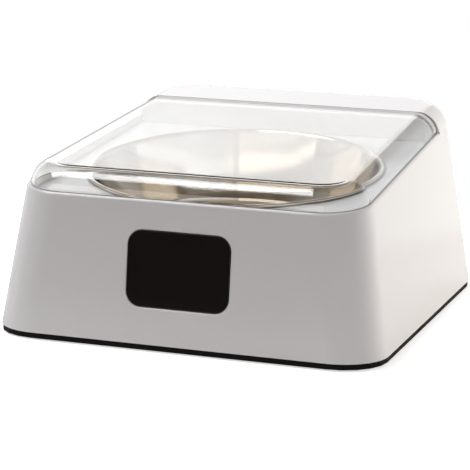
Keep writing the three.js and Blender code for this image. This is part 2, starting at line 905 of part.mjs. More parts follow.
function bushSolid(side) {
  const outer = side * coverHalfWidth;
  const inner = side * (coverHalfWidth - coverEndWall);
  const flange = side * (coverHalfWidth - coverEndWall - bushFlangeWall);
  const span = (a, b) => [Math.min(a, b), Math.max(a, b)];
  const sleeve = cylinderX(bushRadius, pivot, ...span(outer, inner - side * fit));
  const collar = cylinderX(bushFlange, pivot, ...span(inner - side * fit, flange - side * fit));
  const bore = cylinderX(shaftRadius + runningGap, pivot, -farAway, farAway);
  return cut(join(sleeve, collar), bore);
}

// Bracket: two plates that carry the pins and the shaft, and a flange that screws up to the deck
function bracketSolid() {
  const strips = [
    strap([[pivot, plateHead], [idlerPlace, plateHead]]),
    strap([[idlerPlace, plateHead], [outputPlace, plateRound]]),
  ];
  const motorPad = convexOutline([
    ...circle(outputPlace, plateRound),
    [motorPlace[0] - motorWidth / 2, motorPlace[1] + motorHeight / 2],
    [motorPlace[0] + motorWidth / 2, motorPlace[1] + motorHeight / 2],
    [motorPlace[0] + motorWidth / 2, motorPlace[1] - motorHeight / 2],
    [motorPlace[0] - motorWidth / 2, motorPlace[1] - motorHeight / 2],
  ]);
  const arm = outline([
    [flangeFront, -flangeDrop - plateWall],
    [outputPlace[0], -flangeDrop - plateWall],
    [outputPlace[0], -flangeDrop],
    [flangeFront, -flangeDrop],
  ]);
  const at = (shape, middle) => solid(alongX(shape, middle - plateWall / 2, middle + plateWall / 2));
  const plates = [innerPlate, outerPlate].flatMap((middle) =>
    [...strips, arm].map((shape) => at(shape, middle)),
  );
  const flange = solid(
    block(
      [innerPlate - plateWall / 2, outerPlate + plateWall / 2],
      [flangeFront, flangeRear],
      [-flangeDrop - plateWall, -flangeDrop],
    ),
  );
  const bores = [
    cylinderX(shaftRadius + runningGap, pivot, 0, farAway),
    cylinderX(pinRadius + runningGap, idlerPlace, 0, farAway),
    cylinderX(pinRadius + runningGap, outputPlace, 0, farAway),
    cylinderX(motorShaftRadius + fit, motorPlace, 0, farAway),
    ...flangeScrews.map((x) =>
      solid(alongZ(disc(bossHole, x, flangeScrewRun, screwSteps), -farAway, 0)),
    ),
  ];
  return cut(join(...plates, at(motorPad, innerPlate), flange), ...bores);
}

function pinSolid(place) {
  return cylinderX(
    pinRadius,
    place,
    innerPlate - plateWall / 2 - fit,
    outerPlate + plateWall / 2 + fit,
  );
}

const motorFace = innerPlate - plateWall / 2 - fit;

function motorGearboxSolid() {
  const [y, z] = motorPlace;
  const body = roundedBox(motorWidth, motorHeight, ledgeChamfer, y, z);
  const box = solid(alongX(body, motorFace - motorGearboxLength, motorFace));
  const bearing = cylinderX(motorShaftRadius + runningGap, motorPlace, motorFace - plateWall, farAway);
  return cut(box, bearing);
}

function motorCanSolid() {
  const [y, z] = motorPlace;
  const to = motorFace - motorGearboxLength - fit;
  const can = cylinderX(motorWidth / 2, motorPlace, to - motorCanLength, to);
  const flats = solid(
    block(
      [to - motorCanLength - overrun, to + overrun],
      [y - motorWidth, y + motorWidth],
      [z - motorHeight / 2, z + motorHeight / 2],
    ),
  );
  const cap = cylinderX(motorWidth / 5, motorPlace, to - motorCanLength - plateWall / 2, to);
  return join(shared(can, flats), cap);
}

// Sensor window, holder, board and eyes, in the frame of the front wall
function windowSolid() {
  const gap = 2 * fit;
  const pane = alongY(
    roundedBox(windowWidth - gap, windowHeight - gap, windowCorner - fit),
    fit / 2,
    bodyWall + 2 * fit,
  );
  const flange = alongY(
    roundedBox(
      windowWidth + 2 * windowFlange,
      windowHeight + 2 * windowFlange,
      windowCorner + windowFlange,
    ),
    bodyWall + fit,
    bodyWall + fit + windowFlangeWall,
  );
  return join(solid(pane), solid(flange));
}

const holderFrom = bodyWall + 2 * fit + windowFlangeWall;
const holderTo = holderFrom + holderDepth;
const sensorBoardFrom = holderTo + fit;

function holderSolid() {
  const frame = solid(
    alongY(roundedBox(holderWidth, holderHeight, holderWall, 0, -holderDrop), holderFrom, holderTo),
  );
  const chamber = (side) => {
    const width = holderWidth / 2 - 1.5 * holderWall;
    const middle = side * (holderWidth / 4 - holderWall / 4);
    const room = roundedBox(width, holderHeight - 2 * holderWall, holderWall / 2, middle, -holderDrop);
    return solid(alongY(room, holderFrom - overrun, holderTo + overrun));
  };
  return cut(frame, chamber(1), chamber(-1));
}

function sensorBoardSolid() {
  const plate = roundedBox(holderWidth, holderHeight, holderWall, 0, -holderDrop);
  const socket = block(
    [-windowCorner, windowCorner],
    [sensorBoardFrom + boardThickness / 2, sensorBoardFrom + boardThickness + overrun],
    [-holderDrop - overrun, -holderDrop],
  );
  return join(
    solid(alongY(plate, sensorBoardFrom, sensorBoardFrom + boardThickness)),
    solid(socket),
  );
}

function eyeSolid() {
  const dome = arc([0, 0], eyeRadius, 0, 90, arcSteps).map(([r, z]) => [r, z + eyeLength - eyeRadius]);
  const profile = [
    [0, 0],
    [eyeRadius + eyeFlange, 0],
    [eyeRadius + eyeFlange, eyeFlange],
    [eyeRadius, eyeFlange],
    ...dome.slice(0, -1),
    [0, eyeLength],
  ];
  return revolved(profile).rotateX(Math.PI / 2);
}

// Base plate: floor with a raised edge, battery box, board posts and screw holes
const boxRear = bodyDepth / 2 - boxRearRoom;
const boxFront = boxRear - 2 * boxWall - 2 * contactRoom - cellLength - cellNub;
const outerCell = ((cellCount - 1) / 2) * cellPitch;
const boxInnerHalf = outerCell + cellRadius + cellSide;
const boxOuterHalf = boxInnerHalf + boxWall;
const doorHalf = boxOuterHalf + overrun;
const cellHeight = floorTop + ledgeWall + fit + cellRadius;
const boxInnerTop = cellHeight + cellRadius + cellSide;
const boxTop = boxInnerTop + boxWall;
const boardMiddle = [boardSide, (boxFront + boxRear) / 2];
const postSpots = [-1, 1].flatMap((side) =>
  [-1, 1].map((end) => [
    boardMiddle[0] + side * (boardWidth / 2 - bossRadius),
    boardMiddle[1] + end * (boardDepth / 2 - bossRadius),
  ]),
);
const footSide = bodyWidth / 2 - footSideInset;
const footRun = bodyDepth / 2 - footEndInset;
const footSpots = [-1, 1].flatMap((end) => [-1, 1].map((side) => [side * footSide, end * footRun]));

function baseSolid() {
  const slab = (low, high, inset) =>
    solid(loft([planRing(() => low, inset), planRing(() => high, inset)]));
  const trimTop = skirtHeight - fit;
  const rim = cut(
    slab(baseBottom, trimTop, baseInset),
    slab(floorTop, trimTop + overrun, baseInset + rimWall),
  );
  const upstandInset = bodyWall + fit + tangent(sideLeanAngle) * upstandHeight;
  const upstand = cut(
    slab(floorTop - fit, skirtHeight + upstandHeight, upstandInset),
    slab(floorTop - overrun, skirtHeight + upstandHeight + overrun, upstandInset + upstandWall),
  );
  const box = solid(block([-boxOuterHalf, boxOuterHalf], [boxFront, boxRear], [floorTop - fit, boxTop]));
  const frame = solid(
    block(
      [-doorHalf - overrun, doorHalf + overrun],
      [boxFront - overrun, bodyDepth / 2 - upstandInset - upstandWall / 2],
      [floorTop - fit, floorTop + ledgeWall],
    ),
  );
  const posts = postSpots.map(([x, y]) =>
    solid(alongZ(disc(boardPostRadius, x, y), boxTop - fit, boxTop + boardPost)),
  );
  const padTop = skirtHeight + floorTop - fit;
  const pads = bossSpots.map(([x, y]) => solid(alongZ(disc(padRadius, x, y), floorTop - fit, padTop)));
  const tray = join(rim, upstand, box, frame, ...posts, ...pads);

  const cellRoom = solid(
    block(
      [-boxInnerHalf, boxInnerHalf],
      [boxFront + boxWall, boxRear - boxWall],
      [floorTop - overrun, boxInnerTop],
    ),
  );
  const doorRoom = solid(
    block([-doorHalf, doorHalf], [boxFront, farAway], [baseBottom - overrun, floorTop]),
  );
  const lipRoom = solid(
    block(
      [-doorHalf, doorHalf],
      [bodyDepth / 2 - baseInset - rimWall, farAway],
      [baseBottom - overrun, skirtHeight],
    ),
  );
  const grooves = solid(
    block(
      [-doorHalf - doorTongue - fit, doorHalf + doorTongue + fit],
      [boxFront, farAway],
      [grooveLow, grooveHigh],
    ),
  );
  const recesses = footSpots.map(([x, y]) =>
    solid(alongZ(disc(footRadius + fit, x, y), baseBottom - overrun, baseBottom + footRecess)),
  );
  const screwWays = bossSpots.map(([x, y]) => {
    const head = disc(screwHeadRadius + fit, x, y);
    const way = disc(bossHole, x, y, screwSteps);
    return join(
      solid(alongZ(head, -overrun, screwHeadLevel + screwHeadHeight + fit / 3)),
      solid(alongZ(way, 0, skirtHeight + upstandHeight)),
    );
  });
  const leadHoles = [-1, 1].map((side) =>
    solid(
      alongY(
        disc(cableRadius + 2 * fit, side * outerCell, cellHeight + leadRise, screwSteps),
        boxFront - overrun,
        boxFront + boxWall + overrun / 2,
      ),
    ),
  );
  return cut(tray, cellRoom, doorRoom, lipRoom, grooves, ...recesses, ...screwWays, ...leadHoles);
}

const grooveLow = baseBottom + (floorTop - baseBottom) / 2 - doorTongueWall / 2 - fit;
const grooveHigh = grooveLow + doorTongueWall + 2 * fit;

function doorSolid() {
  const rear = bodyDepth / 2 - baseInset;
  const panel = solid(
    block(
      [fit - doorHalf, doorHalf - fit],
      [boxFront + fit, rear],
      [baseBottom, baseBottom + doorWall],
    ),
  );
  const lip = solid(
    block(
      [fit - doorHalf, doorHalf - fit],
      [rear - rimWall + fit, rear],
      [baseBottom, skirtHeight - fit],
    ),
  );
  const tongues = solid(
    block(
      [-doorHalf - doorTongue, doorHalf + doorTongue],
      [boxFront + fit, rear - rimWall - bodyCorner],
      [grooveLow + fit, grooveHigh - fit],
    ),
  );
  const grips = Array.from({ length: gripCount }, (_, i) => {
    const y = rear - bodyCorner / 2 - i * rimWall;
    const x = cellPitch / 2;
    return solid(block([-x, x], [y - ribWall / 2, y], [baseBottom - overrun, baseBottom + fit]));
  });
  return cut(join(panel, lip, tongues), ...grips);
}

function cellSolid() {
  const profile = [
    [0, 0],
    [cellRadius - ledgeChamfer, 0],
    [cellRadius, ledgeChamfer],
    [cellRadius, cellLength - ledgeChamfer],
    [cellRadius - ledgeChamfer, cellLength],
    [cellNubRadius, cellLength],
    [cellNubRadius, cellLength + cellNub],
    [0, cellLength + cellNub],
  ];
  return revolved(profile, roundSteps + arcSteps);
}

// A contact is a flat strip along the box wall with a bowed leaf in front of each cell that it touches
function contactSolid(fromCell, toCell, side) {
  const width = (toCell - fromCell) * cellPitch + contactWidth;
  const strip = block([-width / 2, width / 2], [0, contactWall], [-contactWidth / 2, contactWidth / 2]);
  const leaves = [];
  for (let cell = fromCell; cell <= toCell; cell++) {
    const middle = (cell - (fromCell + toCell) / 2) * cellPitch;
    const bow = [
      [contactWall / 2, -contactWidth / 2],
      [contactWall + contactBow, -contactWidth / 8],
      [contactWall + contactBow, contactWidth / 8],
      [contactWall / 2, contactWidth / 2],
      [0, contactWidth / 2],
      [contactBow, contactWidth / 12],
      [contactBow, -contactWidth / 12],
      [0, -contactWidth / 2],
    ];
    leaves.push(solid(alongX(outline(bow), middle - contactWidth / 4, middle + contactWidth / 4)));
  }
  const made = geometryOf(join(solid(strip), ...leaves));
  return side > 0 ? made : made.rotateZ(Math.PI);
}

// Control board with its parts soldered on, each as its left, right, front and rear share of the board
const socketRunShares = [-0.455, -0.318];
const sideSocketShare = -0.47;
const boardPartShares = [
  [-0.136, 0.045, -0.091, 0.182, chipTop],
  [0.09, 0.364, 0.273, 0.455, relayTop],
  [0.12, 0.242, ...socketRunShares, socketTop],
  [-0.12, 0.06, ...socketRunShares, socketTop],
  [-0.364, -0.182, ...socketRunShares, socketTop],
  [sideSocketShare, -0.379, -0.091, 0.136, socketTop],
];
const canShares = [
  [0.242, 0.091],
  [0.242, -0.136],
];

function controlBoardSolid() {
  const [x, y] = boardMiddle;
  const plate = alongZ(roundedBox(boardWidth, boardDepth, boardThickness, x, y), 0, boardThickness);
  const across = (share) => x + share * boardWidth;
  const along = (share) => y + share * boardDepth;
  const low = boardThickness / 2;
  const blocks = boardPartShares.map(([left, right, front, rear, top]) =>
    solid(block([across(left), across(right)], [along(front), along(rear)], [low, top])),
  );
  const cans = canShares.map(([side, run]) =>
    solid(alongZ(disc(canRadius, across(side), along(run)), low, canTop)),
  );
  const holes = postSpots.map(([px, py]) =>
    solid(alongZ(disc(bossHole, px, py, screwSteps), -overrun, overrun)),
  );
  return cut(join(solid(plate), ...blocks, ...cans), ...holes);
}

// Power switch in the rear wall: a snap-in body and its rocker
function switchBodySolid() {
  const body = solid(
    alongY(
      roundedBox(switchWidth - 2 * fit, switchHeight - 2 * fit, ledgeChamfer),
      -switchDepth,
      switchFlange - fit,
    ),
  );
  const collar = solid(
    alongY(
      roundedBox(switchWidth + switchFlange, switchHeight + switchFlange, switchFlange),
      fit,
      switchFlange,
    ),
  );
  const room = solid(
    alongY(
      roundedBox(switchWidth - 3 * switchFlange, switchHeight - 3 * switchFlange + fit, fit),
      -switchDepth / 2,
      switchFlange + overrun,
    ),
  );
  return cut(join(body, collar), room);
}

function rockerSolid() {
  const half = (switchHeight - 3 * switchFlange) / 2 - fit;
  const section = [
    [-switchFlange, -half * rockerEndShare],
    [switchFlange, -half],
    [switchFlange * rockerWaistShare, 0],
    [switchFlange, half],
    [-switchFlange, half * rockerEndShare],
    [-switchDepth / 4, 0],
  ];
  const side = (switchWidth - 3 * switchFlange) / 2 - fit;
  return alongX(outline(section), -side, side);
}

function screwSolid(screwLength) {
  const socket = screwHeadRadius * screwSocketShare;
  const profile = [
    [0, screwHeadHeight * screwSocketShare],
    [socket, screwHeadHeight * screwSocketShare],
    [socket, 0],
    [screwHeadRadius * screwCrownShare, 0],
    [screwHeadRadius, screwHeadHeight / 4],
    [screwHeadRadius, screwHeadHeight],
    [screwRadius, screwHeadHeight],
    [screwRadius, screwHeadHeight + screwLength - screwRadius],
    [screwRadius / 2, screwHeadHeight + screwLength],
    [0, screwHeadHeight + screwLength],
  ];
  return revolved(profile, screwSteps);
}

function footSolid() {
  const profile = [
    [0, 0],
    [footRadius - ledgeChamfer / 2, 0],
    [footRadius, ledgeChamfer / 2],
    [footRadius, footHeight],
    [0, footHeight],
  ];
  return revolved(profile);
}

function cableSolid(points) {
  const path = new THREE.CatmullRomCurve3(points.map((point) => new THREE.Vector3(...point)));
  const section = disc(cableRadius, 0, 0, cableSteps);
  const steps = Math.ceil(path.getLength() / (cableStepShare * cableRadius));
  return new THREE.ExtrudeGeometry(section, { extrudePath: path, steps, bevelEnabled: false });
}

// Assembly
const feeder = new THREE.Group();
const slope = new THREE.Group();
slope.applyMatrix4(slopeMatrix);
const frontWall = new THREE.Group();
frontWall.applyMatrix4(frontMatrix);
const rearWall = new THREE.Group();
rearWall.applyMatrix4(rearMatrix);
feeder.add(slope, frontWall, rearWall);

feeder.add(piece("housing", housingSolid(), whitePlastic));
feeder.add(piece("base_plate", baseSolid(), blackPlastic));
feeder.add(piece("battery_door", doorSolid(), blackPlastic));

slope.add(piece("lid", lidSolid(), clearPlastic));
slope.add(piece("hinge_cover", coverSolid(), whitePlastic));
slope.add(piece("bowl", bowlSolid(), polishedSteel));
slope.add(piece("drive_shaft", shaftSolid(), plainSteel));
slope.add(piece("pivot_pin", pivotPinSolid(), plainSteel));
slope.add(piece("shaft_bush_right", bushSolid(1), brass));
slope.add(piece("shaft_bush_left", bushSolid(-1), brass));
slope.add(piece("lid_gear", lidGearSolid(), brass));
slope.add(piece("idler_gear", idlerSolid(), acetal));
slope.add(piece("output_gear", outputSolid(), acetal));
slope.add(piece("motor_pinion", motorPinionSolid(), brass));
slope.add(piece("idler_pin", pinSolid(idlerPlace), plainSteel));
slope.add(piece("output_pin", pinSolid(outputPlace), plainSteel));
slope.add(piece("drive_bracket", bracketSolid(), blackPlastic));
slope.add(piece("motor_gearbox", motorGearboxSolid(), brass));
slope.add(piece("motor_can", motorCanSolid(), plainSteel));

frontWall.add(piece("sensor_window", windowSolid(), glossBlack));
frontWall.add(piece("sensor_holder", holderSolid(), blackPlastic));
frontWall.add(piece("sensor_board", sensorBoardSolid(), board));
for (const [name, side, lens] of [
  ["ir_emitter", -1, clearLens],
  ["ir_receiver", 1, darkLens],
]) {
  const eye = piece(name, eyeSolid(), lens);
  eye.position.set(side * eyeSpread, sensorBoardFrom - fit, -holderDrop);
  frontWall.add(eye);
}

const switchBody = piece("switch_body", switchBodySolid(), blackPlastic);
switchBody.position.x = switchSide;
const rocker = piece("switch_rocker", rockerSolid(), blackPlastic);
rocker.position.x = switchSide;
rocker.rotation.x = turn(-rockerTiltAngle);
rearWall.add(switchBody, rocker);

const cellFrom = boxFront + boxWall + contactRoom;
for (let cell = 0; cell < cellCount; cell++) {
  const flip = cell % 2 === 1;
  const made = piece(`battery_${cell + 1}`, cellSolid(), cellSleeve);
  made.rotation.x = flip ? Math.PI / 2 : -Math.PI / 2;
  const y = flip ? cellFrom + cellLength + cellNub : cellFrom;
  made.position.set(cell * cellPitch - outerCell, y, cellHeight);
  feeder.add(made);
}
const frontContacts = [
  ["terminal_minus", 0, 0],
  ["front_link", 1, 2],
  ["terminal_plus", 3, 3],
];
const rearContacts = [
  ["rear_link_1", 0, 1],
  ["rear_link_2", 2, 3],
];
for (const [rows, side, y] of [
  [frontContacts, 1, boxFront + boxWall + fit],
  [rearContacts, -1, boxRear - boxWall - fit],
]) {
  for (const [name, from, to] of rows) {
    const strip = piece(name, contactSolid(from, to, side), plainSteel);
    strip.position.set(((from + to) / 2) * cellPitch - outerCell, y, cellHeight);
    feeder.add(strip);
  }
}

footSpots.forEach(([x, y], i) => {
  const foot = piece(`foot_${i + 1}`, footSolid(), rubber);
  foot.position.set(x, y, 0);
  feeder.add(foot);
});

bossSpots.forEach(([x, y], i) => {
  const screw = piece(`base_screw_${i + 1}`, screwSolid(baseScrewLength), plainSteel);
  screw.position.set(x, y, screwHeadLevel);
  feeder.add(screw);
});
flangeScrews.forEach((x, i) => {
  const screw = piece(`bracket_screw_${i + 1}`, screwSolid(bracketScrewLength), plainSteel);
  screw.position.set(x, flangeScrewRun, -flangeDrop - plateWall - screwHeadHeight - fit);
  slope.add(screw);
});

const boardBottom = boxTop + boardPost + fit;
const controlBoard = piece("control_board", controlBoardSolid(), board);
controlBoard.position.z = boardBottom;
feeder.add(controlBoard);

// Cable paths, each from its part to the socket that it plugs into
const plugHeight = boardBottom + socketTop / 2 + boardThickness / 2;
const socketFront = boardMiddle[1] + socketRunShares[0] * boardDepth;
const frontPlug = (x) => [x, socketFront - cableStandOff, plugHeight];
const terminalHeight = cellHeight + leadRise;
const leadEnd = boxFront + boxWall - fit;
const switchEnd = new THREE.Vector3(
  switchSide,
  -switchDepth - cableStandOff,
  0,
).applyMatrix4(rearMatrix);
const sensorEnd = new THREE.Vector3(
  0,
  sensorBoardFrom + boardThickness + overrun + cableStandOff,
  -holderDrop - overrun / 2,
).applyMatrix4(frontMatrix);
const motorEnd = new THREE.Vector3(
  motorFace - motorGearboxLength - motorCanLength - plateWall,
  ...motorPlace,
).applyMatrix4(slopeMatrix);
const cablePaths = {
  motor_cable: [
    motorEnd.toArray(),
    [12, 83, 90],
    [3, 72, 74],
    [-6, 61, 56],
    [-8, 64, 45],
    frontPlug(-8),
  ],
  sensor_cable: [
    sensorEnd.toArray(),
    [0, -108, 34],
    [-2, -98, 12],
    [-6, -60, 6],
    [-12, 20, 6],
    [-16, 48, 9],
    [-20, 56, 24],
    [-22, 61, 40],
    frontPlug(-22),
  ],
  battery_lead_minus: [
    [-outerCell, leadEnd, terminalHeight],
    [-outerCell, 58, terminalHeight],
    [-41, 55, 30],
    [-40, 61, 42],
    frontPlug(-40),
  ],
  battery_lead_plus: [
    [outerCell, leadEnd, terminalHeight],
    [outerCell, 58, terminalHeight],
    [34, 54, 30],
    [4, 54, 37],
    [-28, 57, 40],
    [-36, 64, 43],
    frontPlug(-36),
  ],
  switch_cable: [
    switchEnd.toArray(),
    [-80, 108, 37],
    [-68, 97, 45],
    [-58, 93, 46],
    [boardMiddle[0] + sideSocketShare * boardWidth - 2 * fit, boardMiddle[1] + 1, plugHeight],
  ],
};
for (const [name, points] of Object.entries(cablePaths)) {
  feeder.add(piece(name, cableSolid(points), cableSleeve));
}

export default feeder;
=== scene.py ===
# %% [markdown]
# # A sensor pet feeder
# A white tapered housing, a sloping clear lid over a polished steel bowl, a dark sensor window and a dark
# base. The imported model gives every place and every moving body, so it is loaded first and nothing in it is
# moved. The lessons then model the pieces that show, one by one, and give each finish its own material.

# %% load the frame
import json
import math

import bmesh
import bpy
from mathutils import Matrix, Quaternion, Vector


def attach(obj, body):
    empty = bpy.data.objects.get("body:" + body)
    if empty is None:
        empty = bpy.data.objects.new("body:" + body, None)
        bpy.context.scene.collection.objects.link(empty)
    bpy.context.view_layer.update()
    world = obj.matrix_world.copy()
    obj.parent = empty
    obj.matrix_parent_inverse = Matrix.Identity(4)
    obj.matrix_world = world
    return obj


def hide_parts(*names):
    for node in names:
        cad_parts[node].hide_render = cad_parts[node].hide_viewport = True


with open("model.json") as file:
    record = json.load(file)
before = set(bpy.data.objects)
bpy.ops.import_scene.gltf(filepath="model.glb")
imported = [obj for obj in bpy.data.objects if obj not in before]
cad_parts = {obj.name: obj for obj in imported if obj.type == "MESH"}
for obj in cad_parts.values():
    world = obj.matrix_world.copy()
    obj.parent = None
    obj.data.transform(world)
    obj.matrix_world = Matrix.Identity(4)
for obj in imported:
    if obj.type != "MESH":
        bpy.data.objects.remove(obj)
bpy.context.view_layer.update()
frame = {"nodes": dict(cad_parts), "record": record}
nodes = frame["nodes"]

# %% [markdown]
# ## Camera
# The photograph is a product shot with a long lens, from a little to the right and just above the lid. A
# camera could be placed by eye, but edges that are straight on the real object fix it far better. The long
# edges of the housing give its direction, its distance and a small roll, and the numbers below come from
# them.

# %% place the camera
MM = 0.001
LENS_MM, SENSOR_MM, NEAR_LIMIT = 152.3, 36.0, 0.05
CAMERA_PLACE = Vector((377.33, -1164.40, 288.46)) * MM
CAMERA_TARGET = Vector((-9.98, 0.0, 44.16)) * MM
CAMERA_ROLL = math.radians(1.24)

camera = bpy.data.objects.new("camera", bpy.data.cameras.new("camera"))
camera.data.sensor_width = SENSOR_MM
camera.data.lens = LENS_MM
camera.data.clip_start = NEAR_LIMIT
camera.location = CAMERA_PLACE
camera.rotation_mode = "QUATERNION"
aim = (CAMERA_TARGET - CAMERA_PLACE).to_track_quat("-Z", "Y")
camera.rotation_quaternion = aim @ Quaternion((0, 0, 1), CAMERA_ROLL)
bpy.context.scene.collection.objects.link(camera)
bpy.context.scene.camera = camera
print("camera to target", round((CAMERA_TARGET - CAMERA_PLACE).length, 4), "m")

# %% [markdown]
# ## Shared sizes
# The housing leans in on all four sides and its top is a slope, so two frames of reference are handy: the
# room's, and the slope's, where u runs back up the slope, w stands square to it and w = 0 is the seam under
# the lid. Every piece on the slope is made level and then laid on it with one matrix.

# %% sizes and the slope
BODY_WIDTH, BODY_DEPTH, CORNER = 236 * MM, 270 * MM, 29 * MM
SKIRT = 4.2 * MM  # height at which the white walls begin, above the dark base
SLOPE_HEIGHT, SLOPE_ANGLE = 99.4 * MM, math.radians(5.65)
SIDE_LEAN, FRONT_LEAN, REAR_LEAN = (math.radians(a) for a in (8.9, 4.85, 7.3))
WALL = 2.5 * MM
LID_TOP, LID_ROLL, LID_INSET, LID_WALL = 13 * MM, 12 * MM, 1.6 * MM, 2.2 * MM
SEAM_U = 73.6 * MM  # where lid and hump meet
DECK_DROP = 4.7 * MM  # depth of the deck below the seam
PIVOT_U, PIVOT_W = 68.0 * MM, 6.0 * MM  # the lid's hinge
BOWL_U = -32.7 * MM
HAIR = 0.3 * MM  # gap kept between neighbouring pieces
SMALL = 1e-6  # points closer than this are one

SLOPE = Matrix.Translation((0, 0, SLOPE_HEIGHT)) @ Matrix.Rotation(SLOPE_ANGLE, 4, "X")
UP_SLOPE = (SLOPE.to_3x3() @ Vector((0, 1, 0))).normalized()
OFF_SLOPE = (SLOPE.to_3x3() @ Vector((0, 0, 1))).normalized()


def on_slope(x, u, w):
    """A point given in the slope's frame, in the room's."""
    return SLOPE @ Vector((x, u, w))


def from_slope(point):
    """A point of the room in the slope's frame, as x, u, w."""
    return SLOPE.inverted() @ point


seam_front, seam_rear = on_slope(0, -BODY_DEPTH / 2, 0), on_slope(0, SEAM_U, 0)
print("the seam climbs from", round(seam_front.z, 4), "to", round(seam_rear.z, 4))

# %% [markdown]
# ## Helpers for shapes
# Three small tools serve every piece. One turns a bmesh into an object, and one gives the finished mesh
# smooth shading that stays crisp where faces meet at an angle. Weighted normals let the large flat walls
# decide the shading, which is what keeps a moulded housing looking flat beside its round corners. The third
# combines closed shapes, the way a mould maker adds and cuts away.

# %% object from a bmesh
def made(name, bm):
    """A bmesh as an object, with its normals facing out."""
    bmesh.ops.remove_doubles(bm, verts=bm.verts[:], dist=SMALL)
    bmesh.ops.recalc_face_normals(bm, faces=bm.faces[:])
    mesh = bpy.data.meshes.new(name)
    bm.to_mesh(mesh)
    bm.free()
    piece = bpy.data.objects.new(name, mesh)
    bpy.context.scene.collection.objects.link(piece)
    return piece


def finished(piece, sharp_degrees=32.0):
    """Smooth shading, kept crisp at edges sharper than the angle."""
    piece.data.shade_smooth()
    piece.data.set_sharp_from_angle(angle=math.radians(sharp_degrees))
    weigh = piece.modifiers.new("weighted normals", "WEIGHTED_NORMAL")
    weigh.keep_sharp = True
    print(piece.name, "faces", len(piece.data.polygons))
    return piece


print("points closer than", SMALL, "m are merged")

# %% combining closed shapes
SOLVER = "EXACT"


def combined(piece, tools, operation="DIFFERENCE"):
    """Adds, cuts or intersects closed shapes, then drops the tools."""
    for tool in tools:
        step = piece.modifiers.new(operation.lower(), "BOOLEAN")
        step.operation = operation
        step.solver = SOLVER
        step.object = tool
        bpy.context.view_layer.update()
        shape = piece.evaluated_get(bpy.context.evaluated_depsgraph_get())
        result = bpy.data.meshes.new_from_object(shape)
        piece.modifiers.clear()
        spent, piece.data = piece.data, result
        bpy.data.meshes.remove(spent)
        bpy.data.meshes.remove(tool.data)
        print(piece.name, operation.lower(), len(result.polygons), "faces")
    return piece


print("shapes are combined by the", SOLVER.lower(), "solver")

# %% [markdown]
# Before shapes are combined they are shaped one by one, nearly all by a fillet or by a straight cut. A cut
# can leave the two sides together, drop the far side and stay open, or be closed again with a new face.

# %% fillets and cuts
def edges_on(bm, test):
    """Edges whose two ends both pass a test on their slope coordinates."""
    return [e for e in bm.edges if all(test(from_slope(v.co)) for v in e.verts)]


def rounded(bm, edges, radius, steps=4):
    """A fillet of that radius along edges that meet square."""
    bmesh.ops.bevel(bm, geom=edges, offset=radius, offset_type="OFFSET", segments=steps,
                    profile=0.5, affect="EDGES", material=-1)


def split(bm, place, direction, drop=False):
    """Cuts a shape at a plane, and drops what lies beyond it if asked."""
    everything = bm.verts[:] + bm.edges[:] + bm.faces[:]
    return bmesh.ops.bisect_plane(bm, geom=everything, dist=SMALL / 10, plane_co=place,
                                  plane_no=direction, clear_outer=drop)


def sliced(bm, place, direction):
    """Drops what lies beyond a plane and closes the cut."""
    cut = split(bm, place, direction, drop=True)
    rim = [e for e in cut["geom_cut"] if isinstance(e, bmesh.types.BMEdge) and e.is_boundary]
    if rim:
        bmesh.ops.edgeloop_fill(bm, edges=rim)
    return bm


print("a corner lies on a cut when it is closer than", SMALL / 10, "m")

# %% [markdown]
# ## The arch
# Lid, hump, hollow and hinge cover all share one form: a block with a rounded plan whose walls lean in, ended
# on top by the slope and rolled over along that edge. It could be lofted from cross-sections, but a cube does
# it in four steps: bevel its upright edges, lean its walls, slice its top with the slope, and bevel the new
# top edge.

# %% tapered block with a sloping, rolled-over top
BLOCK_TOP = SLOPE_HEIGHT + BODY_DEPTH / 4
CORNER_STEPS, ROLL_STEPS = 16, 12


def arch(inset, top, roll=0.0, low=SKIRT, roll_steps=ROLL_STEPS):
    """The housing's form, smaller by inset, with its top at w = top."""
    bm = bmesh.new()
    bmesh.ops.create_cube(bm, size=1)
    size = (BODY_WIDTH - 2 * inset, BODY_DEPTH - 2 * inset, BLOCK_TOP - low)
    bmesh.ops.scale(bm, vec=size, verts=bm.verts[:])
    bmesh.ops.translate(bm, vec=(0, 0, (low + BLOCK_TOP) / 2), verts=bm.verts[:])
    upright = [e for e in bm.edges if abs(e.verts[0].co.z - e.verts[1].co.z) > SMALL]
    rounded(bm, upright, CORNER - inset, CORNER_STEPS)
    for v in bm.verts:
        rise = v.co.z - SKIRT
        end_lean = FRONT_LEAN if v.co.y < 0 else REAR_LEAN
        v.co.x -= math.copysign(rise * math.tan(SIDE_LEAN), v.co.x)
        v.co.y -= math.copysign(rise * math.tan(end_lean), v.co.y)
    sliced(bm, on_slope(0, 0, top), OFF_SLOPE)
    if roll > 0:
        rim = edges_on(bm, lambda p: abs(p.z - top) < SMALL)
        rounded(bm, rim, roll, roll_steps)
    return bm


print("the block is", round(BLOCK_TOP, 4), "m high before its top is sliced")

# %% [markdown]
# ## Round shapes
# The bowl and its well are turned on one axis, square to the slope. A profile from the axis outwards and back
# is spun a full turn; the last step merges with the first, so the shell closes on itself. A cylinder pushed
# into shape would need its rings moved one by one, while a profile can be read like a drawing.

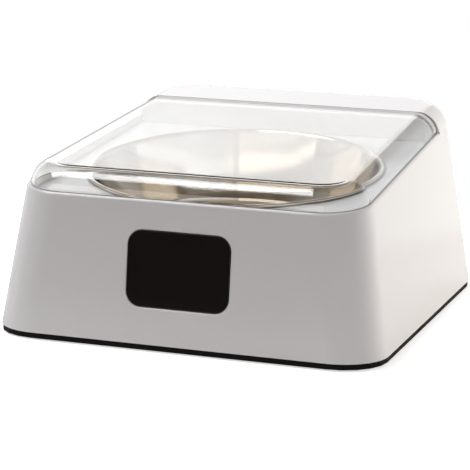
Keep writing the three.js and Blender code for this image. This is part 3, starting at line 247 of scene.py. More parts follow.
# %% spinning a profile about the bowl's axis
def turned(name, profile, steps=128):
    """A closed profile of (radius, w) points spun about the bowl's axis."""
    bm = bmesh.new()
    ring = [bm.verts.new((r, BOWL_U, w)) for r, w in profile]
    edges = [bm.edges.new(pair) for pair in zip(ring, ring[1:])]
    if profile[0][0] > SMALL:
        edges.append(bm.edges.new((ring[-1], ring[0])))
    bmesh.ops.spin(bm, geom=ring + edges, cent=(0, BOWL_U, 0), axis=(0, 0, 1), dvec=(0, 0, 0),
                   angle=2 * math.pi, steps=steps, use_merge=True, use_duplicate=False)
    bmesh.ops.remove_doubles(bm, verts=bm.verts[:], dist=SMALL)
    bmesh.ops.transform(bm, matrix=SLOPE, verts=bm.verts[:])
    return made(name, bm)


def arc(middle, radius, start, stop, steps=8):
    """Points along an arc, angles in degrees."""
    turns = [math.radians(start + (stop - start) * i / steps) for i in range(steps + 1)]
    return [(middle[0] + radius * math.cos(t), middle[1] + radius * math.sin(t)) for t in turns]


print("a quarter circle has", len(arc((0, 0), 1, 0, 90)), "points")

# %% [markdown]
# Bowl and well have the same side, one outside the other: a flat floor, a round heel and a wall that leans
# out. The heel's middle follows from the mouth, the depth and the lean, so that heel and wall meet smoothly.

# %% the side of the dish, shared by bowl and well
RIM_RADIUS, MOUTH_RADIUS, RIM_ROLL = 89.8 * MM, 86 * MM, 1.0 * MM
BOWL_DEPTH, HEEL, BOWL_LEAN, STEEL_SHEET = 52 * MM, 16 * MM, 12.0, 1.0 * MM
RIM_TOP = -DECK_DROP + HAIR + 2 * RIM_ROLL
BOWL_FLOOR = RIM_TOP - BOWL_DEPTH
lean_sin, lean_cos = math.sin(math.radians(BOWL_LEAN)), math.cos(math.radians(BOWL_LEAN))
wall_run = (BOWL_DEPTH - HEEL + HEEL * lean_sin) / lean_cos
HEEL_MIDDLE = (MOUTH_RADIUS - HEEL * lean_cos - wall_run * lean_sin, BOWL_FLOOR + HEEL)


def dish_side(offset, top, steps=16):
    """From the middle of the floor round the heel and up the leaning wall."""
    heel = arc(HEEL_MIDDLE, HEEL + offset, -90, -BOWL_LEAN, steps)
    climb = (top - heel[-1][1]) * math.tan(math.radians(BOWL_LEAN))
    return [(0.0, BOWL_FLOOR - offset), *heel, (heel[-1][0] + climb, top)]


print("bowl floor radius", round(HEEL_MIDDLE[0], 4), "floor at w", round(BOWL_FLOOR, 4))

# %% [markdown]
# ## Housing
# The real housing is one glossy white moulding: four leaning walls, a ledge that the lid rests on, a sunken
# deck, a well for the bowl and a raised hump behind the lid. It is built as the mould maker thinks of it: the
# outer form first, in one mesh, so that wall and hump stay flush, and then the hollow, the well and the
# openings cut from it. The arch is split along the seam, what lies above it before the hump is dropped, and
# two new faces close the hole: the hump's front, and a level one that is inset and pushed down as the deck.

# %% outer form with ledge and deck
LEDGE = 4.1 * MM


def housing_form():
    """Walls up to the seam, the hump behind it, and the deck sunk inside the ledge."""
    bm = arch(0.0, LID_TOP, LID_ROLL)
    split(bm, SLOPE.translation, OFF_SLOPE)
    split(bm, on_slope(0, SEAM_U, 0), UP_SLOPE)
    front = []
    for face in bm.faces:
        middle = from_slope(face.calc_center_median())
        if middle.y < SEAM_U and middle.z > 0:
            front.append(face)
    bmesh.ops.delete(bm, geom=front, context="FACES")
    rim = [e for e in bm.edges if e.is_boundary]
    level = [e for e in rim if all(abs(from_slope(v.co).z) < SMALL for v in e.verts)]
    upright = [e for e in rim if e not in level]
    ends = [v for e in upright for v in e.verts if abs(from_slope(v.co).z) < SMALL]
    crease = bm.edges.new(ends)
    hump_face = bmesh.ops.contextual_create(bm, geom=upright + [crease])["faces"]
    ledge_face = bmesh.ops.contextual_create(bm, geom=level + [crease])["faces"]
    bmesh.ops.recalc_face_normals(bm, faces=bm.faces[:])
    bmesh.ops.inset_region(bm, faces=ledge_face, thickness=LEDGE, use_even_offset=True)
    deck = bmesh.ops.extrude_face_region(bm, geom=ledge_face)["geom"]
    bmesh.ops.delete(bm, geom=ledge_face, context="FACES_ONLY")
    moved = [v for v in deck if isinstance(v, bmesh.types.BMVert)]
    bmesh.ops.translate(bm, vec=-DECK_DROP * OFF_SLOPE, verts=moved)
    print("hump face edges", len(hump_face[0].edges), "deck corners", len(moved))
    return bm


housing_mesh = housing_form()

# %% [markdown]
# A moulded edge is never knife-sharp. The ledge's two edges and the deck's inner corner are rounded before
# any cut is made, while each still is one clean loop of edges.

# %% round the ledge and the deck
OUTER_ROUND, INNER_ROUND, DECK_ROUND = 1.5 * MM, 0.7 * MM, 1.0 * MM
SHARP_FOLD = 0.5  # angle between two faces, in radians, that makes an edge


def ledge_edges(inner):
    """The ledge's inner edges, above the deck, or its outer ones, above the walls."""
    found = []
    for edge in edges_on(housing_mesh, lambda p: abs(p.z) < SMALL):
        corners = [from_slope(v.co) for face in edge.link_faces for v in face.verts]
        over_deck = any(abs(p.z + DECK_DROP) < SMALL for p in corners)
        before_seam = any(from_slope(v.co).y < SEAM_U - SMALL for v in edge.verts)
        if edge.calc_face_angle(0) > SHARP_FOLD and before_seam and over_deck == inner:
            found.append(edge)
    return found


rounded(housing_mesh, ledge_edges(inner=False), OUTER_ROUND)
rounded(housing_mesh, ledge_edges(inner=True), INNER_ROUND)
rounded(housing_mesh, edges_on(housing_mesh, lambda p: abs(p.z + DECK_DROP) < SMALL), DECK_ROUND)
housing = made("housing_shell", housing_mesh)
print("housing form", len(housing.data.polygons), "faces")

# %% [markdown]
# The inside is hollow and open below. The same arch, inset by the wall, cuts the main hollow up to the
# underside of the deck and a second one inside the hump. The well is added as a turned solid and then
# emptied, which leaves it with an even wall of its own.

# %% hollow and well
TROUGH = 9.1 * MM  # radius of the trough that the lid's rear edge turns in
WELL_GAP, WELL_WALL = 1.2 * MM, 2.0 * MM
OVERRUN = 4 * MM  # how far a cutting shape passes the faces that it cuts

hollow = made("hollow", arch(WALL, -DECK_DROP - WALL, low=SKIRT - OVERRUN))
hump_front = on_slope(0, PIVOT_U + TROUGH + WALL, 0)
hump_block = sliced(arch(WALL, LID_TOP - WALL, LID_ROLL - WALL), hump_front, -UP_SLOPE)
hump_hollow = made("hump hollow", hump_block)
combined(housing, [hollow, hump_hollow])
well_top = -DECK_DROP - WALL / 2
well_offset = STEEL_SHEET + WELL_GAP
well_outside = dish_side(well_offset + WELL_WALL, well_top)
well_inside = dish_side(well_offset, OVERRUN)
well = turned("well", [*well_outside, (0.0, well_top)])
well_room = turned("well room", [*well_inside, (0.0, OVERRUN)])
combined(housing, [well], "UNION")
combined(housing, [well_room])

# %% [markdown]
# The lid's rear edge swings down into a round trough in front of the hump, and the drive reaches it through a
# slot. The front wall has a rounded opening for the sensor window, and the rear wall one for the power
# switch. Both walls lean, so each opening is made upright at the origin and laid on its wall with a matrix.

# %% bars and bricks on the slope
def bar(name, radius, u, w, x_low, x_high, steps=64):
    """A round bar along X, at a place on the slope."""
    bm = bmesh.new()
    bmesh.ops.create_cone(bm, cap_ends=True, cap_tris=False, segments=steps, radius1=radius,
                          radius2=radius, depth=x_high - x_low)
    bmesh.ops.rotate(bm, cent=(0, 0, 0), matrix=Matrix.Rotation(math.pi / 2, 3, "Y"), verts=bm.verts[:])
    bmesh.ops.translate(bm, vec=((x_low + x_high) / 2, u, w), verts=bm.verts[:])
    bmesh.ops.transform(bm, matrix=SLOPE, verts=bm.verts[:])
    return made(name, bm)


def brick(name, low, high):
    """A block between two corners, laid on the slope."""
    bm = bmesh.new()
    bmesh.ops.create_cube(bm, size=1)
    low, high = Vector(low), Vector(high)
    bmesh.ops.scale(bm, vec=high - low, verts=bm.verts[:])
    bmesh.ops.translate(bm, vec=(low + high) / 2, verts=bm.verts[:])
    bmesh.ops.transform(bm, matrix=SLOPE, verts=bm.verts[:])
    return made(name, bm)


print("bars and bricks lie on a slope of", round(math.degrees(SLOPE_ANGLE), 2), "degrees")

# %% plaques on the front and rear walls
WINDOW_MIDDLE, SWITCH_MIDDLE = 47.7 * MM, 34 * MM
PLAQUE_STEPS = 12


def wall_frame(height, lean, facing):
    """The matrix of the front wall, facing -1, or of the rear wall, facing 1, at a height."""
    lean_in = (height - SKIRT) * math.tan(lean)
    place = Matrix.Translation((0, facing * (BODY_DEPTH / 2 - lean_in), height))
    return place @ Matrix.Rotation(facing * lean, 4, "X")


def plaque(width, height, corner, y_low, y_high, flare=0.0):
    """A rounded plate that faces -Y, wider by flare at its outer face."""
    bm = bmesh.new()
    bmesh.ops.create_cube(bm, size=1)
    bmesh.ops.scale(bm, vec=(width, y_high - y_low, height), verts=bm.verts[:])
    bmesh.ops.translate(bm, vec=(0, (y_low + y_high) / 2, 0), verts=bm.verts[:])
    across = [e for e in bm.edges if abs(e.verts[0].co.y - e.verts[1].co.y) > SMALL]
    rounded(bm, across, corner, PLAQUE_STEPS)
    outer = [v for v in bm.verts if v.co.y < (y_low + y_high) / 2]
    grow = (1 + 2 * flare / width, 1, 1 + 2 * flare / height)
    bmesh.ops.scale(bm, vec=grow, verts=outer)
    return bm


def laid(name, plate, wall, x=0.0):
    """A plaque as an object, moved to x along a wall."""
    bmesh.ops.translate(plate, vec=(x, 0, 0), verts=plate.verts[:])
    bmesh.ops.transform(plate, matrix=wall, verts=plate.verts[:])
    return made(name, plate)


FRONT_WALL = wall_frame(WINDOW_MIDDLE, FRONT_LEAN, -1)
REAR_WALL = wall_frame(SWITCH_MIDDLE, REAR_LEAN, 1)
for name, wall in (("window", FRONT_WALL), ("switch", REAR_WALL)):
    print(name, "at", [round(value, 4) for value in wall.translation])

# %% trough, slot and openings
WINDOW_WIDTH, WINDOW_HEIGHT, WINDOW_CORNER = 62.5 * MM, 44.7 * MM, 9 * MM
MOUTH_REACH, MOUTH_FLARE = 0.5 * MM, 1.0 * MM
SWITCH_WIDTH, SWITCH_HEIGHT, SWITCH_CORNER, SWITCH_X = 19 * MM, 13 * MM, 1 * MM, -84 * MM
SLOT_LOW, SLOT_HIGH = (46 * MM, 64 * MM, -12 * MM), (70 * MM, 84 * MM, 2 * MM)
TROUGH_STEPS = 128

side_stop = made("side stop", arch(LID_INSET - HAIR, LID_TOP + HAIR, LID_ROLL))
trough = bar("trough", TROUGH, PIVOT_U, PIVOT_W, -BODY_WIDTH / 2, BODY_WIDTH / 2, TROUGH_STEPS)
combined(trough, [side_stop], "INTERSECT")
slot = brick("drive slot", SLOT_LOW, SLOT_HIGH)
window_plate = plaque(WINDOW_WIDTH, WINDOW_HEIGHT, WINDOW_CORNER, -OVERRUN, WALL + OVERRUN)
mouth_plate = plaque(WINDOW_WIDTH, WINDOW_HEIGHT, WINDOW_CORNER, -MOUTH_REACH, MOUTH_REACH, MOUTH_FLARE)
switch_plate = plaque(SWITCH_WIDTH, SWITCH_HEIGHT, SWITCH_CORNER, -WALL - OVERRUN, OVERRUN)
openings = [
    laid("window opening", window_plate, FRONT_WALL),
    laid("window mouth", mouth_plate, FRONT_WALL),
    laid("switch opening", switch_plate, REAR_WALL, SWITCH_X),
]
combined(housing, [trough, slot, *openings])
finished(housing)
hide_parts("housing")
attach(housing, "base")

# %% [markdown]
# ## Lid
# The lid is one clear moulding of even thickness, open below and behind. It is the same arch again, a little
# smaller so that it sits inside the housing's edge. The arch is cut open and given its wall by solidify,
# which keeps the thickness the same round every corner, as a mould does. One more cut, which drops nothing,
# draws a line across the lid just before its rear edge, where its matt margin will begin.

# %% clear shell
SEAM_GAP, MATT_MARGIN = 0.5 * MM, 6 * MM
LID_REAR = SEAM_U - SEAM_GAP
LID_ROLL_STEPS = 16

lid_mesh = arch(LID_INSET, LID_TOP, LID_ROLL, roll_steps=LID_ROLL_STEPS)
split(lid_mesh, on_slope(0, 0, HAIR), -OFF_SLOPE, drop=True)
split(lid_mesh, on_slope(0, LID_REAR, 0), UP_SLOPE, drop=True)
split(lid_mesh, on_slope(0, LID_REAR - MATT_MARGIN, 0), UP_SLOPE)
bmesh.ops.recalc_face_normals(lid_mesh, faces=lid_mesh.faces[:])
bmesh.ops.solidify(lid_mesh, geom=lid_mesh.faces[:], thickness=LID_WALL)
lid = made("clear_lid", lid_mesh)
print("lid shell", len(lid.data.polygons), "faces")

# %% [markdown]
# An ear at each end carries the lid on its hinge: a round boss with a web up to the lid's top. Boss and web
# are cut to the lid's own form, so that they merge with its wall, and a bore is drilled for shaft or pin.

# %% ears for the hinge
EAR_FROM, EAR_TO, EAR_RADIUS, WEB_HALF = 87.1 * MM, 98 * MM, 4 * MM, 2 * MM
BORE_RADIUS, BORE_DEPTH, BORE_STEPS = 1.6 * MM, 7.8 * MM, 32

for side in (-1, 1):
    x_low, x_high = sorted((side * EAR_FROM, side * EAR_TO))
    ear = bar("ear", EAR_RADIUS, PIVOT_U, PIVOT_W, x_low, x_high)
    web = brick("web", (x_low, PIVOT_U - WEB_HALF, PIVOT_W), (x_high, PIVOT_U + WEB_HALF, LID_TOP))
    combined(ear, [web], "UNION")
    skin = made("skin", arch(LID_INSET + LID_WALL / 2, LID_TOP - LID_WALL / 2, LID_ROLL - LID_WALL / 2))
    combined(ear, [skin], "INTERSECT")
    bore_low, bore_high = sorted((side * (EAR_FROM - OVERRUN), side * (EAR_FROM + BORE_DEPTH)))
    combined(lid, [ear], "UNION")
    combined(lid, [bar("bore", BORE_RADIUS, PIVOT_U, PIVOT_W, bore_low, bore_high, BORE_STEPS)])
finished(lid)

# %% [markdown]
# Two borders of the lid don't look like its clear walls: the foot that rests on the ledge shows as a fine
# dark line, which is painted shade, and a margin along the rear edge is taken to be matt and is painted pale
# over the shaded gap behind it. Both could be pieces of their own, but on the real lid they are one moulding
# with it, so their faces only get material slots of their own.

# %% foot and matt margin
FOOT_SLOT, MATT_SLOT = 1, 2
FOOT_HEIGHT = 1 * MM
FACING_DOWN = -0.7  # how far a face's normal lies against the slope's

borders = [0, 0, 0]
for face in lid.data.polygons:
    place = from_slope(face.center)
    if place.z < FOOT_HEIGHT and face.normal.dot(OFF_SLOPE) < FACING_DOWN:
        face.material_index = FOOT_SLOT
    elif place.y > LID_REAR - MATT_MARGIN and place.z > FOOT_HEIGHT:
        face.material_index = MATT_SLOT
    borders[face.material_index] += 1
print("clear, foot and matt faces", borders)
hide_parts("lid")
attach(lid, "lid")

# %% [markdown]
# ## Hinge cover
# Under the rear of the lid stands a white wall that hides the shaft: a plate in front, a narrow band over the
# shaft and a bearing wall at each end. Its outline follows the inside of the lid, so an extruded section is
# intersected with the arch.

# %% section and ends
COVER_REACH, COVER_WALL, COVER_TOP = 6.1 * MM, 1.7 * MM, 4.5 * MM
COVER_HALF, COVER_ROUND = 86.5 * MM, 1.5 * MM
COVER_FOOT = HAIR - DECK_DROP - PIVOT_W
BAND_UNDERSIDE = 3.5 * MM
END_WALL, END_SHOULDER, END_SLACK = 3 * MM, 3 * MM, 0.1 * MM


def extruded(name, section, x_low, x_high):
    """A section of points round the hinge axis, extruded along X."""
    bm = bmesh.new()
    ring = [bm.verts.new((x_low, u + PIVOT_U, w + PIVOT_W)) for u, w in section]
    face = bm.faces.new(ring)
    grown = bmesh.ops.extrude_face_region(bm, geom=[face])["geom"]
    far = [v for v in grown if isinstance(v, bmesh.types.BMVert)]
    bmesh.ops.translate(bm, vec=(x_high - x_low, 0, 0), verts=far)
    bmesh.ops.transform(bm, matrix=SLOPE, verts=bm.verts[:])
    return made(name, bm)


shoulder = arc((COVER_ROUND - COVER_REACH, COVER_TOP - COVER_ROUND), COVER_ROUND, 180, 90)
plate_back = [(COVER_WALL - COVER_REACH, COVER_TOP), (COVER_WALL - COVER_REACH, COVER_FOOT)]
plate_section = [(-COVER_REACH, COVER_FOOT), *shoulder, *plate_back]
band_section = [*shoulder, *arc((0, 0), COVER_TOP, 90, 0), *arc((0, 0), BAND_UNDERSIDE, 0, 90),
                (COVER_ROUND - COVER_REACH, BAND_UNDERSIDE)]
end_top = COVER_TOP - END_SLACK
end_section = [(-COVER_REACH + HAIR, COVER_FOOT), (-COVER_REACH + HAIR, END_SHOULDER),
               *arc((0, 0), end_top, 90, 0), (end_top, COVER_FOOT)]
cover = extruded("hinge_wall", plate_section, -BODY_WIDTH / 2, BODY_WIDTH / 2)
band = extruded("band", band_section, -COVER_HALF, COVER_HALF)
ends = [extruded("end", end_section, *sorted((s * COVER_HALF, s * (COVER_HALF - END_WALL))))
        for s in (-1, 1)]
combined(cover, [band, *ends], "UNION")

# %% trim to the lid, and room for shaft and gear
SHAFT_ROOM, GEAR_ROOM = 3 * MM, 5.1 * MM
GEAR_FROM, GEAR_TO = 57.7 * MM, 64.3 * MM
GEAR_LIMIT_LOW, GEAR_LIMIT_HIGH = (57 * MM, 60 * MM, -6 * MM), (65 * MM, 76 * MM, 8.6 * MM)

stop_form = arch(LID_INSET + LID_WALL + 2 * HAIR, LID_TOP - LID_WALL, LID_ROLL - LID_WALL)
combined(cover, [made("cover stop", stop_form)], "INTERSECT")
shaft_room = bar("shaft room", SHAFT_ROOM, PIVOT_U, PIVOT_W, -BODY_WIDTH, BODY_WIDTH)
gear_room = bar("gear room", GEAR_ROOM, PIVOT_U, PIVOT_W, GEAR_FROM, GEAR_TO)
combined(gear_room, [brick("gear limit", GEAR_LIMIT_LOW, GEAR_LIMIT_HIGH)], "INTERSECT")
combined(cover, [shaft_room, gear_room])
finished(cover)
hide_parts("hinge_cover")
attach(cover, "base")

# %% [markdown]
# ## Bowl
# The bowl is pressed from thin stainless sheet, with a flat rim that ends in a rolled edge. Its profile runs
# up the inside, over the flare of the rim, round the roll and back down the outside, and is spun once. The
# steel itself is in the material: a mirror with very fine circular lines left by the polishing wheel.

# %% spin the bowl
FLARE_REACH, FLARE_ROUND, FLARE_FROM = 2.2 * MM, 2.4 * MM, 168
FLARE_STEPS, RIM_STEPS, BOWL_STEPS = 8, 12, 192
BOWL_SHARP_DEGREES = 60

flare_middle = (MOUTH_RADIUS + FLARE_REACH, RIM_TOP - FLARE_ROUND)
roll_middle = (RIM_RADIUS - RIM_ROLL, RIM_TOP - RIM_ROLL)
bowl_profile = [
    *dish_side(0.0, RIM_TOP - FLARE_REACH),
    *arc(flare_middle, FLARE_ROUND, FLARE_FROM, 90, FLARE_STEPS),
    *arc(roll_middle, RIM_ROLL, 90, -90, RIM_STEPS),
    (RIM_RADIUS - 2 * RIM_ROLL, RIM_TOP - STEEL_SHEET),
    *reversed(arc(flare_middle, FLARE_ROUND - STEEL_SHEET, FLARE_FROM, 90, FLARE_STEPS)),
    *reversed(dish_side(STEEL_SHEET, RIM_TOP - FLARE_REACH - STEEL_SHEET)),
]
bowl = turned("steel_bowl", bowl_profile, BOWL_STEPS)
finished(bowl, BOWL_SHARP_DEGREES)
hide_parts("bowl")
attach(bowl, "bowl")

# %% [markdown]
# ## Sensor window
# A glossy dark panel lies flush in the front wall. Its front edge is broken by a small radius, which draws
# the thin light line that is seen round it. A wider flange behind the wall keeps it from being pushed out.

# %% panel with its hidden flange
PANE_FRONT, PANE_BACK, PANE_ROUND = 0.15 * MM, 3.1 * MM, 0.4 * MM
FLANGE_REACH, FLANGE_FRONT, FLANGE_BACK = 2 * MM, 2.8 * MM, 4 * MM

pane = plaque(WINDOW_WIDTH - 2 * HAIR, WINDOW_HEIGHT - 2 * HAIR, WINDOW_CORNER - HAIR, PANE_FRONT, PANE_BACK)
front_rim = [e for e in pane.edges if all(v.co.y < PANE_FRONT + SMALL for v in e.verts)]
rounded(pane, front_rim, PANE_ROUND)
flange = plaque(WINDOW_WIDTH + 2 * FLANGE_REACH, WINDOW_HEIGHT + 2 * FLANGE_REACH,
                WINDOW_CORNER + FLANGE_REACH, FLANGE_FRONT, FLANGE_BACK)
window = made("window_panel", pane)
combined(window, [made("flange", flange)], "UNION")
window.data.transform(FRONT_WALL)
finished(window)
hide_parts("sensor_window")
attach(window, "base")

# %% [markdown]
# ## Materials
# Each finish gets its own node material on Object coordinates. Moulded plastic is never perfectly even: a
# slow noise moves its roughness and another one its height by some hundredths of a millimetre, so that long
# reflections waver slightly. A picture could do the same, but noise has no seam and never runs out.

# %% a finish
def material(name, color, **sockets):
    """A material with values written on the Principled shader's own sockets."""
    mat = bpy.data.materials.new(name)
    mat.use_nodes = True
    shader = mat.node_tree.nodes["Principled BSDF"]
    shader.inputs["Base Color"].default_value = (*color, 1)
    for socket, value in sockets.items():
        shader.inputs[socket.replace("_", " ")].default_value = value
    mat.diffuse_color = (*color, 1)
    return mat


white = material("white_abs", (0.83, 0.815, 0.815), Roughness=0.16, IOR=1.53)
print("the first finish is", white.name)

# %% what varies a finish
def added(tree, kind, **values):
    """A new node, with values written on its sockets."""
    node = tree.nodes.new("ShaderNode" + kind)
    for socket, value in values.items():
        node.inputs[socket.replace("_", " ")].default_value = value
    return node


def spread(tree, source, **limits):
    """A value carried from one range to another."""
    node = added(tree, "MapRange", **limits)
    tree.links.new(source, node.inputs["Value"])
    return node.outputs["Result"]


def noise(mat, scale, detail=2.0):
    """A noise texture on the piece's own coordinates."""
    tree = mat.node_tree
    place = added(tree, "TexCoord")
    texture = added(tree, "TexNoise", Scale=scale, Detail=detail)
    tree.links.new(place.outputs["Object"], texture.inputs["Vector"])
    return texture.outputs["Fac"]


def vary(mat, source, socket, low, high):
    """Spreads a noise over a range and feeds a socket of the shader."""
    tree = mat.node_tree
    result = spread(tree, source, To_Min=low, To_Max=high)
    tree.links.new(result, tree.nodes["Principled BSDF"].inputs[socket])


def relief(mat, source, height_mm, strength=1.0):
    """A bump of that height from a noise."""
    tree = mat.node_tree
    bump = added(tree, "Bump", Strength=strength, Distance=height_mm * MM)
    tree.links.new(source, bump.inputs["Height"])
    tree.links.new(bump.outputs["Normal"], tree.nodes["Principled BSDF"].inputs["Normal"])


print("a noise of scale 35 has lumps of about", round(1 / (35 * MM)), "mm")

# %% [markdown]
# White ABS is glossy, but not a mirror. The base has a fine spark-eroded grain, which comes from a relief
# that is finer than a millimetre and keeps it dull. The window is the smoothest of the three.

# %% white, black and window plastics
vary(white, noise(white, 35), "Roughness", 0.13, 0.19)
relief(white, noise(white, 60, 1.0), 0.02, 0.35)

black = material("black_abs", (0.005, 0.005, 0.005), Roughness=0.55, IOR=1.5, Specular_IOR_Level=0.1)
vary(black, noise(black, 120), "Roughness", 0.48, 0.66)
relief(black, noise(black, 2600, 3.0), 0.02)

gloss = material("black_gloss", (0.004, 0.004, 0.005), Roughness=0.06, IOR=1.49)
vary(gloss, noise(gloss, 40), "Roughness", 0.04, 0.09)
relief(gloss, noise(gloss, 25, 1.0), 0.01, 0.3)
print("white", len(white.node_tree.nodes), "nodes, black", len(black.node_tree.nodes))

# %% [markdown]
# Clear plastic is nearly invisible face on and shows by its edges, where the eye looks along the wall and so
# through much more of it, and where the wall refracts the darker room. A transmitting shader alone leaves the
# lid too faint in a white room. Layer Weight's Facing finds the faces that turn away: a ramp tints them
# grey-brown, partly the plastic's own tint and partly painted shade, and on the outline a share of plain
# brown is mixed in as a painted dark reflection.

# %% small node tools
def ramped(tree, source, stops):
    """A colour from a value, by a ramp with these stops."""
    ramp = added(tree, "ValToRGB")
    for at, _ in stops[2:]:
        ramp.color_ramp.elements.new(at)
    for element, (at, color) in zip(ramp.color_ramp.elements, stops):
        element.position = at
        element.color = (*color, 1)
    tree.links.new(source, ramp.inputs["Fac"])
    return ramp.outputs["Color"]


def mixed(tree, amount, first, second):
    """The second shader where the amount is 1, and the first where it is 0."""
    mix = added(tree, "MixShader")
    for socket, source in zip(mix.inputs, (amount, first, second)):
        tree.links.new(source, socket)
    return mix.outputs["Shader"]


def reckoned(tree, operation, first, second):
    """A sum of two values, each a number or a socket."""
    node = added(tree, "Math")
    node.operation = operation
    for socket, source in zip(node.inputs, (first, second)):
        if isinstance(source, float):
            socket.default_value = source
        else:
            tree.links.new(source, socket)
    return node.outputs["Value"]


print("node tools", ramped.__name__, mixed.__name__, reckoned.__name__)

# %% clear lid, tinted and given painted shade towards its outline
# partly the plastic's tint, partly painted shade: the ramp darkens the lid as its faces turn away
EDGE_TINT_AND_PAINTED_SHADE = [
    (0.0, (0.97, 0.985, 0.99)), (0.72, (0.93, 0.93, 0.92)),
    (0.9, (0.72, 0.68, 0.65)), (1.0, (0.35, 0.31, 0.29)),
]
OUTLINE_FROM, OUTLINE_TO, OUTLINE_SHARE = 0.77, 0.88, 0.42

clear = material("clear_pc", (0.97, 0.985, 0.99), Roughness=0.015, IOR=1.5, Transmission_Weight=1.0)
vary(clear, noise(clear, 30), "Roughness", 0.0, 0.015)
relief(clear, noise(clear, 12, 1.0), 0.02, 0.06)
tree = clear.node_tree
shader = tree.nodes["Principled BSDF"]
slant = added(tree, "LayerWeight").outputs["Facing"]
tree.links.new(ramped(tree, slant, EDGE_TINT_AND_PAINTED_SHADE), shader.inputs["Base Color"])
outline = spread(tree, slant, From_Min=OUTLINE_FROM, From_Max=OUTLINE_TO, To_Max=OUTLINE_SHARE)
# painted dark reflection: a plain brown diffuse mixed in on the lid's outline
painted_dark_outline = added(tree, "BsdfDiffuse", Color=(0.3, 0.25, 0.2, 1))
glass_with_painted_outline = mixed(tree, outline, shader.outputs["BSDF"], painted_dark_outline.outputs["BSDF"])
print("tint stops", len(EDGE_TINT_AND_PAINTED_SHADE), "outline from", OUTLINE_FROM, "to", OUTLINE_TO)

# %% [markdown]
# A closed clear cover would throw a glass shadow on the deck and the bowl, with much grain. Real lids of this
# thickness pass nearly all light, so rays that only carry light, shadow rays and diffuse ones, meet a pale
# transparent shader instead. What the eye sees directly still is the refracting plastic.

# %% clear lid, open to light
rays = added(tree, "LightPath")
lit = reckoned(tree, "MAXIMUM", rays.outputs["Is Shadow Ray"], rays.outputs["Is Diffuse Ray"])
open_to_light = added(tree, "BsdfTransparent", Color=(0.9, 0.91, 0.91, 1))
whole = mixed(tree, lit, glass_with_painted_outline, open_to_light.outputs["BSDF"])
tree.links.new(whole, tree.nodes["Material Output"].inputs["Surface"])
print("clear lid", len(tree.nodes), "nodes")

# %% [markdown]
# The foot's opaque dark brown is painted shade. It stands for the dark line that the shadow gap under the lid
# shows, seen through the whole height of the lid's wall. The margin's pale colour is painted light, laid over
# the shaded gap behind the lid. Both are rough, so they catch light without mirroring the room. The margin
# lets some of what lies behind show by a lower Alpha, which costs less grain than a rough transmission.

# %% the lid's foot and its matt margin
# painted shade: opaque dark brown for the shadow line under the lid's edge
foot_painted_shade = material("foot_painted_shade", (0.16, 0.15, 0.14), Roughness=0.5, IOR=1.5)
vary(foot_painted_shade, noise(foot_painted_shade, 200), "Roughness", 0.42, 0.6)
# painted light: a pale, nearly opaque colour laid over the shaded gap behind the lid
margin_painted_over_shade = material("margin_painted_over_shade", (0.93, 0.91, 0.91), Roughness=0.5, IOR=1.5, Alpha=0.74)
vary(margin_painted_over_shade, noise(margin_painted_over_shade, 200), "Roughness", 0.42, 0.6)
print("borders of the lid", foot_painted_shade.name, margin_painted_over_shade.name)

# %% gears and feet
acetal = material("acetal", (0.78, 0.75, 0.66), Roughness=0.4, IOR=1.48)
vary(acetal, noise(acetal, 200), "Roughness", 0.34, 0.48)

rubber = material("rubber", (0.02, 0.02, 0.021), Roughness=0.8)
relief(rubber, noise(rubber, 1800), 0.03)
print("gears and feet", acetal.name, rubber.name)

# %% [markdown]
# Metal needs little colour and a good deal of structure. The bowl's polishing lines run round its axis, so
# its noise is stretched along the circle: the piece's own coordinates are laid on the slope, turned into
# radius and height, and only those drive the lines. An anisotropic shader would need tangents for the same.

# %% polished steel
RING_SCALE = 2400

steel = material("polished_steel", (0.63, 0.605, 0.57), Metallic=1.0, Roughness=0.1)
tree = steel.node_tree
coordinates = added(tree, "TexCoord")
lay = added(tree, "Mapping")
lay.vector_type = "TEXTURE"
lay.inputs["Location"].default_value = on_slope(0, BOWL_U, 0)
lay.inputs["Rotation"].default_value = (SLOPE_ANGLE, 0, 0)
tree.links.new(coordinates.outputs["Object"], lay.inputs["Vector"])
apart = added(tree, "SeparateXYZ")
tree.links.new(lay.outputs["Vector"], apart.inputs["Vector"])
flat = added(tree, "CombineXYZ")
tree.links.new(apart.outputs["X"], flat.inputs["X"])
tree.links.new(apart.outputs["Y"], flat.inputs["Y"])
radius = added(tree, "VectorMath")
radius.operation = "LENGTH"
tree.links.new(flat.outputs["Vector"], radius.inputs[0])
rings = added(tree, "CombineXYZ")
tree.links.new(radius.outputs["Value"], rings.inputs["X"])
tree.links.new(apart.outputs["Z"], rings.inputs["Y"])
lines = added(tree, "TexNoise", Scale=RING_SCALE)
tree.links.new(rings.outputs["Vector"], lines.inputs["Vector"])
relief(steel, lines.outputs["Fac"], 0.002, 0.25)
vary(steel, noise(steel, 45), "Roughness", 0.06, 0.14)
print("steel", len(tree.nodes), "nodes, lines", round(1 / (RING_SCALE * MM), 2), "mm wide")

# %% [markdown]
# The inner pieces show only when the lid or the battery door is open, or not at all. One colour each and an
# uneven roughness are enough to tell a board from a cell or a cable.

# %% plain steel and brass
plain = material("plain_steel", (0.42, 0.43, 0.44), Metallic=1.0, Roughness=0.35)
vary(plain, noise(plain, 300), "Roughness", 0.28, 0.45)
brass = material("brass", (0.62, 0.45, 0.2), Metallic=1.0, Roughness=0.3)
vary(brass, noise(brass, 300), "Roughness", 0.24, 0.4)
print("metals", steel.name, plain.name, brass.name)

